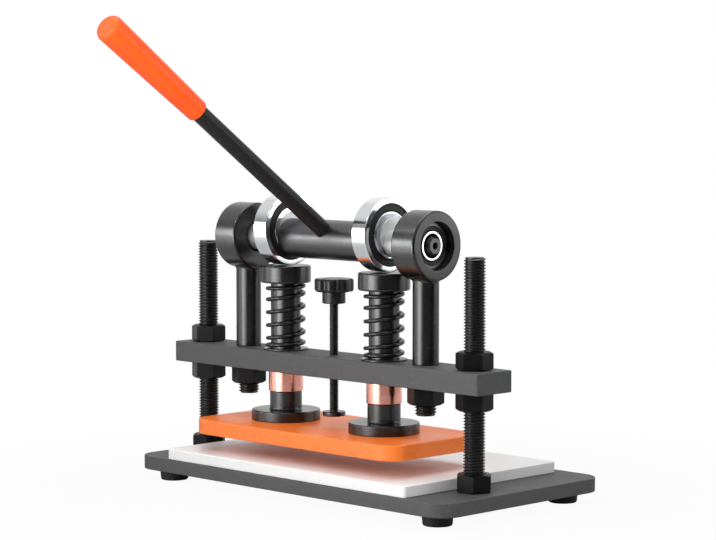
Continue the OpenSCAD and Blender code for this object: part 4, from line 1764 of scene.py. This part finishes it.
@dataclass(frozen=True)
class Lamp:
    """A soft rectangular lamp.

    Attributes:
        name: name of the lamp.
        azimuth: its direction round the press, from the front to the right, in degrees.
        distance: its distance from the press, along the floor.
        rise: height of its middle.
        width: its width.
        height: its height.
        glow: its brightness, where 1 is white.
        mirrored: False if gloss doesn't show it.
        lighting: False if only gloss shows it.
    """

    name: str
    azimuth: float
    distance: float
    rise: float
    width: float
    height: float
    glow: float
    mirrored: bool = True
    lighting: bool = True

    @property
    def place(self) -> Vector:
        """Where its middle is."""
        turn = math.radians(self.azimuth)
        return Vector((self.distance * math.sin(turn), -self.distance * math.cos(turn), self.rise))

    @property
    def power(self) -> float:
        """Its power in watts."""
        return self.glow * math.pi * self.width * self.height


@dataclass
class Studio:
    """White floor, soft lamps and the camera.

    Attributes:
        azimuth: direction of the camera round the press, in degrees.
        elevation: height of the camera above the horizon, in degrees.
        distance: distance of the camera from its target.
        target: point that the camera looks at.
        lens: focal length for a sensor 36 mm wide, in millimetres.
        ambient: strength of the world's light on the press.
        dark_side: brightness of the room behind the camera, as gloss shows it.
        sky: brightness of the room's ceiling, as gloss shows it.
        floor_r: radius of the floor.
        aim: point that the lamps are turned to.
        lamps: the lamps.
    """

    azimuth: float = 45.09
    elevation: float = 4.15
    distance: float = 2.014
    target: tuple[float, float, float] = (-0.006, 0.0, 0.1913)
    lens: float = 117.1
    ambient: float = 0.3
    dark_side: float = 0.06
    sky: float = 0.8
    floor_r: float = 0.8
    aim: tuple[float, float, float] = (0.0, 0.0, 0.15)
    lamps: tuple[Lamp, ...] = (
        Lamp("key", -12.0, 1.05, 0.12, 0.46, 0.4, 7.5, lighting=False),
        Lamp("key_right", 6.0, 0.9, 0.12, 0.3, 0.4, 3.6),
        Lamp("left", -41.0, 1.46, 0.2, 0.8, 0.8, 1.8, lighting=False),
        Lamp("grip_light", -32.0, 0.62, 0.75, 0.14, 0.14, 10.0),
        Lamp("left_core", -43.0, 1.4, 0.36, 0.36, 0.32, 6.0, lighting=False),
        Lamp("right_back", 133.0, 1.7, 0.45, 0.85, 0.8, 2.6),
        Lamp("overhead", 170.0, 0.15, 1.9, 1.5, 1.5, 2.7),
        Lamp("fill", 26.0, 0.58, 0.42, 0.4, 0.4, 5.5, mirrored=False),
    )

    def build(self) -> None:
        """Makes the floor, the world, the lamps and the camera."""
        bpy.context.scene.view_settings.view_transform = "Standard"
        self.floor()
        self.world()
        for lamp in self.lamps:
            self.lamp(lamp)
        self.camera()

    @staticmethod
    def mirrored(path: object, graph: Graph) -> bpy.types.NodeSocket:
        """1 for what gloss or glass shows, and 0 for the rest."""
        return graph.math("MAXIMUM", path["Is Glossy Ray"], path["Is Transmission Ray"])

    def floor(self) -> None:
        """Pale round floor that takes a soft shadow near the press and is white towards its rim."""
        disc = lathe([Mark(0, 0), Mark(self.floor_r / 2, 0), Mark(self.floor_r, 0)])
        floor = placed("floor", disc.mesh("floor"))
        material = bpy.data.materials.new("floor_white")
        graph = Graph.of(material)
        far = graph.add("ShaderNodeVectorMath", {0: graph.place()}, operation="LENGTH").outputs["Value"]
        plain = graph.remap(far, low=0.25, high=0.6 * self.floor_r, to_low=0.95, to_high=1.0)
        shine = graph.remap(far, low=0.4, high=0.95 * self.floor_r, to_low=0.1, to_high=1.0)
        path = graph.add("ShaderNodeLightPath").outputs
        in_gloss = graph.math("MULTIPLY", self.mirrored(path, graph), shine)
        share = graph.math("MAXIMUM", graph.math("MULTIPLY", path["Is Camera Ray"], plain), in_gloss)
        matt = graph.add("ShaderNodeBsdfDiffuse", {"Color": (0.5, 0.5, 0.5, 1.0)})
        white = graph.add("ShaderNodeEmission", {"Color": WHITE, "Strength": 1.0})
        surface = graph.add("ShaderNodeMixShader", {0: share, 1: matt.outputs[0], 2: white.outputs[0]})
        graph.add("ShaderNodeOutputMaterial", {"Surface": surface.outputs[0]})
        floor.data.materials.append(material)

    def world(self) -> None:
        """White backdrop, which gloss shows with a darker room behind the camera, and which lights dimly."""
        world = bpy.data.worlds.new("studio")
        bpy.context.scene.world = world
        graph = Graph.of(world)
        turn = math.radians(self.azimuth)
        backdrop = (-math.sin(turn), math.cos(turn), 0.0)
        way = graph.add("ShaderNodeTexCoord").outputs["Generated"]
        dot = graph.add("ShaderNodeVectorMath", {0: way, 1: backdrop}, operation="DOT_PRODUCT")
        height = graph.add("ShaderNodeSeparateXYZ", {0: way}).outputs["Z"]
        sky = graph.remap(height, low=0.2, high=0.6, to_low=self.dark_side, to_high=self.sky)
        wall = graph.remap(dot.outputs["Value"], low=0.1, high=0.8, to_low=self.dark_side, to_high=1.0)
        room = graph.math("MAXIMUM", wall, sky)
        path = graph.add("ShaderNodeLightPath").outputs
        unseen = graph.remap(self.mirrored(path, graph), 0.0, 1.0, self.ambient, room)
        strength = graph.remap(path["Is Camera Ray"], 0.0, 1.0, unseen, 1.0)
        light = graph.add("ShaderNodeBackground", {"Color": WHITE, "Strength": strength})
        graph.add("ShaderNodeOutputWorld", {"Surface": light.outputs[0]})

    def lamp(self, lamp: Lamp) -> None:
        """Hangs one lamp, turned to the middle of the press."""
        light = bpy.data.lights.new(lamp.name, "AREA")
        light.shape = "RECTANGLE"
        light.size, light.size_y, light.energy = lamp.width, lamp.height, lamp.power
        holder = placed(lamp.name, light)
        holder.location = lamp.place
        holder.visible_glossy = lamp.mirrored
        holder.visible_diffuse = lamp.lighting
        holder.rotation_euler = (Vector(self.aim) - lamp.place).to_track_quat("-Z", "Y").to_euler()

    def camera(self) -> None:
        """Stands the camera at the photograph's viewing angle."""
        data = bpy.data.cameras.new("camera")
        data.sensor_width = SENSOR_WIDTH
        data.lens = self.lens
        camera = placed("camera", data)
        turn, rise = math.radians(self.azimuth), math.radians(self.elevation)
        way = Vector((math.sin(turn) * math.cos(rise), -math.cos(turn) * math.cos(rise), math.sin(rise)))
        camera.location = Vector(self.target) + self.distance * way
        camera.rotation_euler = (-way).to_track_quat("-Z", "Y").to_euler()
        bpy.context.scene.camera = camera


def main() -> None:
    """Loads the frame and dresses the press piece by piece."""
    logging.basicConfig(level=logging.INFO, format="%(message)s")
    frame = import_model()
    press = Press(frame)
    Studio().build()
    Base(press).build()
    columns = Columns(press)
    columns.build()
    Beam(press).build()
    Posts(press).build(columns)
    EccentricShaft(press).build()
    Lever(press).build()
    for side in Side:
        Bearing(press, side, "eye", EYE_STEEL, wall=3.7 * MM, fillet=0.7 * MM, bore_chamfer=1.9 * MM).build()
        Bearing(press, side, "roller", BEARING_STEEL, wall=4.5 * MM).build()
        Plunger(press, side).build()
    PressPlate(press).build()
    StopScrew(press).build()


if __name__ == "__main__":
    main()
